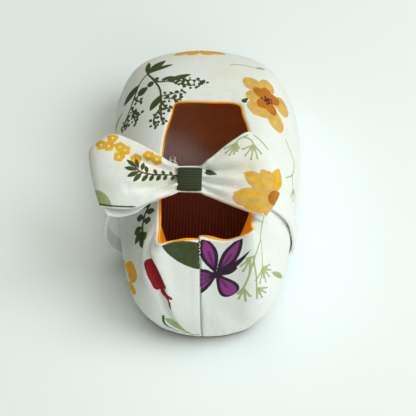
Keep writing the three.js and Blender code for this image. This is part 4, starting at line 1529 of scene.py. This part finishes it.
def join_threads(parts, name):
    """Joins several threads into one piece."""
    bpy.ops.object.select_all(action="DESELECT")
    for part in parts:
        part.select_set(True)
    bpy.context.view_layer.objects.active = parts[0]
    bpy.ops.object.join()
    piece = bpy.context.object
    piece.name = piece.data.name = name
    return piece


def thread_material(name, colour):
    """Spun thread of one colour."""
    m = Paints(name, Roughness=0.8, Sheen_Weight=0.2, Specular_IOR_Level=0.2)
    fuzz = m.noise(m.place(), 3000.0, 2.0)
    return m.finish(m.mix(fuzz, shaded(colour, 0.8), colour), fuzz, 0.03)


def stitch(k, s):
    """One stitch of the heel's seam, counted from the collar; pairs lean to either side."""
    up = STITCH_TOP - STITCH_STEP * k
    right, upward, out = wall_axes(seam_turn(up), up, s)
    at = wall_point(seam_turn(up), up, s) + upward * 0.7 * smooth(0.7, 1.0, up) - out * 0.12
    lean = right * ((-1) ** (k // 2) * STITCH_LEAN - 0.1)
    half = upward * STITCH_HALF
    return thread_tube([at + lean - half, at + out * 0.16, at - lean + half], **STITCH_THREAD)


def make_threads():
    """Dark and white stitches down the heel's seam, and the bow's loose ends."""
    s = sizes()
    c = colours()
    for name, first, colour in (("dark_stitches", 0, c["leaf"]), ("white_stitches", 1, c["cotton"])):
        piece = join_threads([stitch(k, s) for k in range(first, STITCHES, 2)], name)
        finish_piece(piece, None, thread_material(name, colour))
    ends = [thread_tube(bow_place(np.array(path, float), s), **END_THREAD) for path in LOOSE_ENDS]
    piece = join_threads(ends, "loose_threads")
    finish_piece(piece, None, thread_material("loose threads", c["cotton"]))


# Ribbon

RIBBON_AROUND = 300
RIBBON_SECTION = 28
RIBBON_HALF = 3.3
RIB_COUNT = 30
RIB_DEPTH = 0.12
ROUND_WAIST = 0.55


def squared(values, power):
    """Sines and cosines pushed out towards a square's sides."""
    return np.sign(values) * np.abs(values) ** power


def rib_wave(columns):
    """The ribbon's ribs, from 0 to 1, at each column."""
    return 0.5 + 0.5 * np.cos(columns / RIBBON_AROUND * RIB_COUNT * 2 * math.pi)


def ribbon_shape(s):
    """The ribbon's points round the waist and round its section."""
    front = s["bow_cloth"] + KNOT_SLACK + s["seam_gap"]
    back = -(front + s["seam_gap"] + s["strap_thickness"] + s["seam_gap"])
    angle = np.linspace(0, 2 * math.pi, RIBBON_AROUND, endpoint=False)
    centre, half = (front + back) / 2, (front - back) / 2
    level, depth = squared(np.cos(angle), ROUND_WAIST), squared(np.sin(angle), ROUND_WAIST)
    ring = np.stack([level * RIBBON_HALF, centre + depth * half], -1)
    closed = np.vstack([ring, ring[:1]])
    run = np.concatenate([[0], np.cumsum(np.linalg.norm(np.diff(closed, axis=0), axis=-1))])
    even = np.linspace(0, run[-1], RIBBON_AROUND, endpoint=False)
    ring = np.stack([np.interp(even, run, closed[:, k]) for k in (0, 1)], -1)
    out = outward(ring)
    rib = rib_wave(np.arange(RIBBON_AROUND))[:, None]
    section = np.arange(RIBBON_SECTION) / RIBBON_SECTION * 2 * math.pi
    wide = squared(np.cos(section), 0.4)[None]
    deep = (0.5 + 0.5 * squared(np.sin(section), 0.5))[None]
    x = wide * (s["ribbon_width"] / 2 + 0.5 + 0.1 * rib) * (1 - 0.05 * (ring[:, 1:2] > centre))
    crown = 0.35 * (1 - wide ** 2) * smooth(0.2, 0.8, out[:, 1:2])
    away = deep * (s["ribbon_thickness"] - RIB_DEPTH + RIB_DEPTH * rib) + crown * (deep > 0.5)
    return bow_place(np.concatenate([x[..., None], ring[:, None] + out[:, None] * away[..., None]], -1), s)


def ribbed_ribbon():
    """Dark green ribbon, with painted shade between its ribs."""
    c = colours()
    m = Paints("green ribbon", Roughness=0.7, Sheen_Weight=0.2, Sheen_Roughness=0.4, Specular_IOR_Level=0.3)
    thread = m.noise(m.place(), 2400.0, 3.0, 0.6, (0.3, 1.4, 1.4))
    # Painted shade: the ribbon turns darker in the grooves between its ribs.
    colour = m.mix(m.remap(m.value("rib"), 0.1, 0.8), c["ribbon_deep"], c["ribbon"])
    colour = m.mix(m.remap(thread, 0.35, 0.7, 0.0, 0.4), colour, c["ribbon_deep"])
    return m.finish(colour, thread, 0.06)


def make_ribbon():
    """The ribbed ribbon round the bow's waist."""
    piece, i, _ = ring_of_cloth("ribbon_knot", ribbon_shape(sizes()))
    store(piece, "rib", rib_wave(i))
    finish_piece(piece, "bow_band", ribbed_ribbon())


# Camera, light and floor

CAMERA_TARGET = (0.4, 25.2, 18)
CAMERA_DISTANCE = 450
CAMERA_RISE = 52.6
CAMERA_AZIMUTH = 1.0
CAMERA_ROLL = 0.6
FOCAL_PIXELS = 1308
PHOTO_WIDTH = 416
SENSOR = 36


def make_camera():
    """The photograph's point of view."""
    rise, azimuth, roll = (math.radians(v) for v in (CAMERA_RISE, CAMERA_AZIMUTH, CAMERA_ROLL))
    back = Vector((math.sin(azimuth) * math.cos(rise), -math.cos(azimuth) * math.cos(rise), math.sin(rise)))
    level = Vector((math.cos(azimuth), math.sin(azimuth), 0))
    upright = back.cross(level)
    right = math.cos(roll) * level + math.sin(roll) * upright
    up = -math.sin(roll) * level + math.cos(roll) * upright
    place = Vector(CAMERA_TARGET) * MM + back * CAMERA_DISTANCE * MM
    data = bpy.data.cameras.new("photo camera")
    data.sensor_fit = "HORIZONTAL"
    data.sensor_width = SENSOR
    data.lens = FOCAL_PIXELS * SENSOR / PHOTO_WIDTH
    camera = bpy.data.objects.new("photo camera", data)
    camera.matrix_world = Matrix.Translation(place) @ Matrix((right, up, back)).transposed().to_4x4()
    bpy.context.scene.collection.objects.link(camera)
    bpy.context.scene.camera = camera


# Lights: place, size and colour

LIGHTS = {
    "key": ((0.66, -0.05, 0.82), 0.8, (0.93, 1, 1)),
    "top": ((-0.04, 0.3, 1.15), 1.0, (1, 0.98, 0.9)),
    "front": ((0.62, -1.0, 0.42), 1.2, (0.95, 1, 1)),
}
LIGHT_AIM = (0, 0.03, 0)
FLOOR_RADIUS = 4
WORLD_COLOUR = (1, 0.93, 0.6, 1)


def soft_light(name, power, place, size, colour):
    """One large area light, aimed at the shoe."""
    data = bpy.data.lights.new(name, "AREA")
    data.shape = "DISK"
    data.size = size
    data.energy = power
    data.color = colour
    light = bpy.data.objects.new(name, data)
    light.location = place
    light.rotation_euler = (Vector(LIGHT_AIM) - Vector(place)).to_track_quat("-Z", "Y").to_euler()
    bpy.context.scene.collection.objects.link(light)


def make_stage():
    """Camera, pale floor, and soft light from the outer side, from overhead and from behind the heel."""
    stage = bpy.context.scene.baby_shoe_stage
    make_camera()
    start_clean()
    bpy.ops.mesh.primitive_circle_add(vertices=96, radius=FLOOR_RADIUS, fill_type="NGON", location=(0, 0, 0))
    floor = bpy.context.object
    floor.name = floor.data.name = "floor"
    paint_of_floor = colours()["floor"]
    m = Paints("pale floor", Roughness=0.9, Specular_IOR_Level=0.1)
    colour = m.mix(m.noise(m.place(), 3.0, 2.0), shaded(paint_of_floor, 0.97), paint_of_floor)
    floor.data.materials.append(m.finish(colour))
    for name, settings in LIGHTS.items():
        soft_light(name + " light", getattr(stage, name + "_power"), *settings)
    world = bpy.data.worlds.new("pale room")
    world.use_nodes = True
    background = world.node_tree.nodes["Background"]
    background.inputs["Color"].default_value = WORLD_COLOUR
    background.inputs["Strength"].default_value = stage.fill
    bpy.context.scene.world = world
    bpy.context.scene.view_settings.view_transform = "Standard"


class BABYSHOE_OT_stage(Operator):
    """Sets the camera, the pale floor and the soft light"""
    bl_idname = "baby_shoe.stage"
    bl_label = "Stage"

    def execute(self, context):
        make_stage()
        return {"FINISHED"}


class BABYSHOE_OT_upper(Operator):
    """Wraps the printed cloth round the foot and over the collar"""
    bl_idname = "baby_shoe.upper_cloth"
    bl_label = "Upper Cloth"

    def execute(self, context):
        make_upper()
        return {"FINISHED"}


class BABYSHOE_OT_lining(Operator):
    """Hangs the orange lining inside the collar"""
    bl_idname = "baby_shoe.lining"
    bl_label = "Lining"

    def execute(self, context):
        make_lining()
        return {"FINISHED"}


class BABYSHOE_OT_sole(Operator):
    """Lays the brushed sole and the ribbed sock liner"""
    bl_idname = "baby_shoe.sole"
    bl_label = "Sole and Sock Liner"

    def execute(self, context):
        make_sole()
        make_sock()
        return {"FINISHED"}


class BABYSHOE_OT_elastic(Operator):
    """Arches the white elastic over the opening"""
    bl_idname = "baby_shoe.elastic"
    bl_label = "Elastic"

    def execute(self, context):
        make_elastic()
        return {"FINISHED"}


class BABYSHOE_OT_bow(Operator):
    """Folds the bow and wraps the ribbon round it"""
    bl_idname = "baby_shoe.bow"
    bl_label = "Bow and Ribbon"

    def execute(self, context):
        make_bow()
        make_ribbon()
        return {"FINISHED"}


class BABYSHOE_OT_threads(Operator):
    """Sews the heel's seam and leaves loose ends at the bow"""
    bl_idname = "baby_shoe.threads"
    bl_label = "Threads"

    def execute(self, context):
        make_threads()
        return {"FINISHED"}


OPERATORS = (BABYSHOE_OT_stage, BABYSHOE_OT_upper, BABYSHOE_OT_lining, BABYSHOE_OT_sole, BABYSHOE_OT_elastic,
             BABYSHOE_OT_bow, BABYSHOE_OT_threads)


class BABYSHOE_PT_tools(Panel):
    """The shoe's steps in the sidebar"""
    bl_label = "Baby Shoe"
    bl_space_type = "VIEW_3D"
    bl_region_type = "UI"
    bl_category = "Baby Shoe"

    def draw(self, context):
        for operator in OPERATORS:
            self.layout.operator(operator.bl_idname)


GROUPS = {
    "baby_shoe_sizes": BabyShoeSizes,
    "baby_shoe_colours": BabyShoeColours,
    "baby_shoe_stage": BabyShoeStage,
}


def register():
    for group in GROUPS.values():
        bpy.utils.register_class(group)
    for name, group in GROUPS.items():
        setattr(bpy.types.Scene, name, PointerProperty(type=group))
    for item in (*OPERATORS, BABYSHOE_PT_tools):
        bpy.utils.register_class(item)


def unregister():
    for item in (*OPERATORS, BABYSHOE_PT_tools):
        bpy.utils.unregister_class(item)
    for name, group in GROUPS.items():
        delattr(bpy.types.Scene, name)
        bpy.utils.unregister_class(group)


def main():
    """Makes the pieces in order."""
    register()
    bpy.ops.baby_shoe.stage()
    bpy.ops.baby_shoe.upper_cloth()
    bpy.ops.baby_shoe.lining()
    bpy.ops.baby_shoe.sole()
    bpy.ops.baby_shoe.elastic()
    bpy.ops.baby_shoe.bow()
    bpy.ops.baby_shoe.threads()


if __name__ == "__main__":
    main()
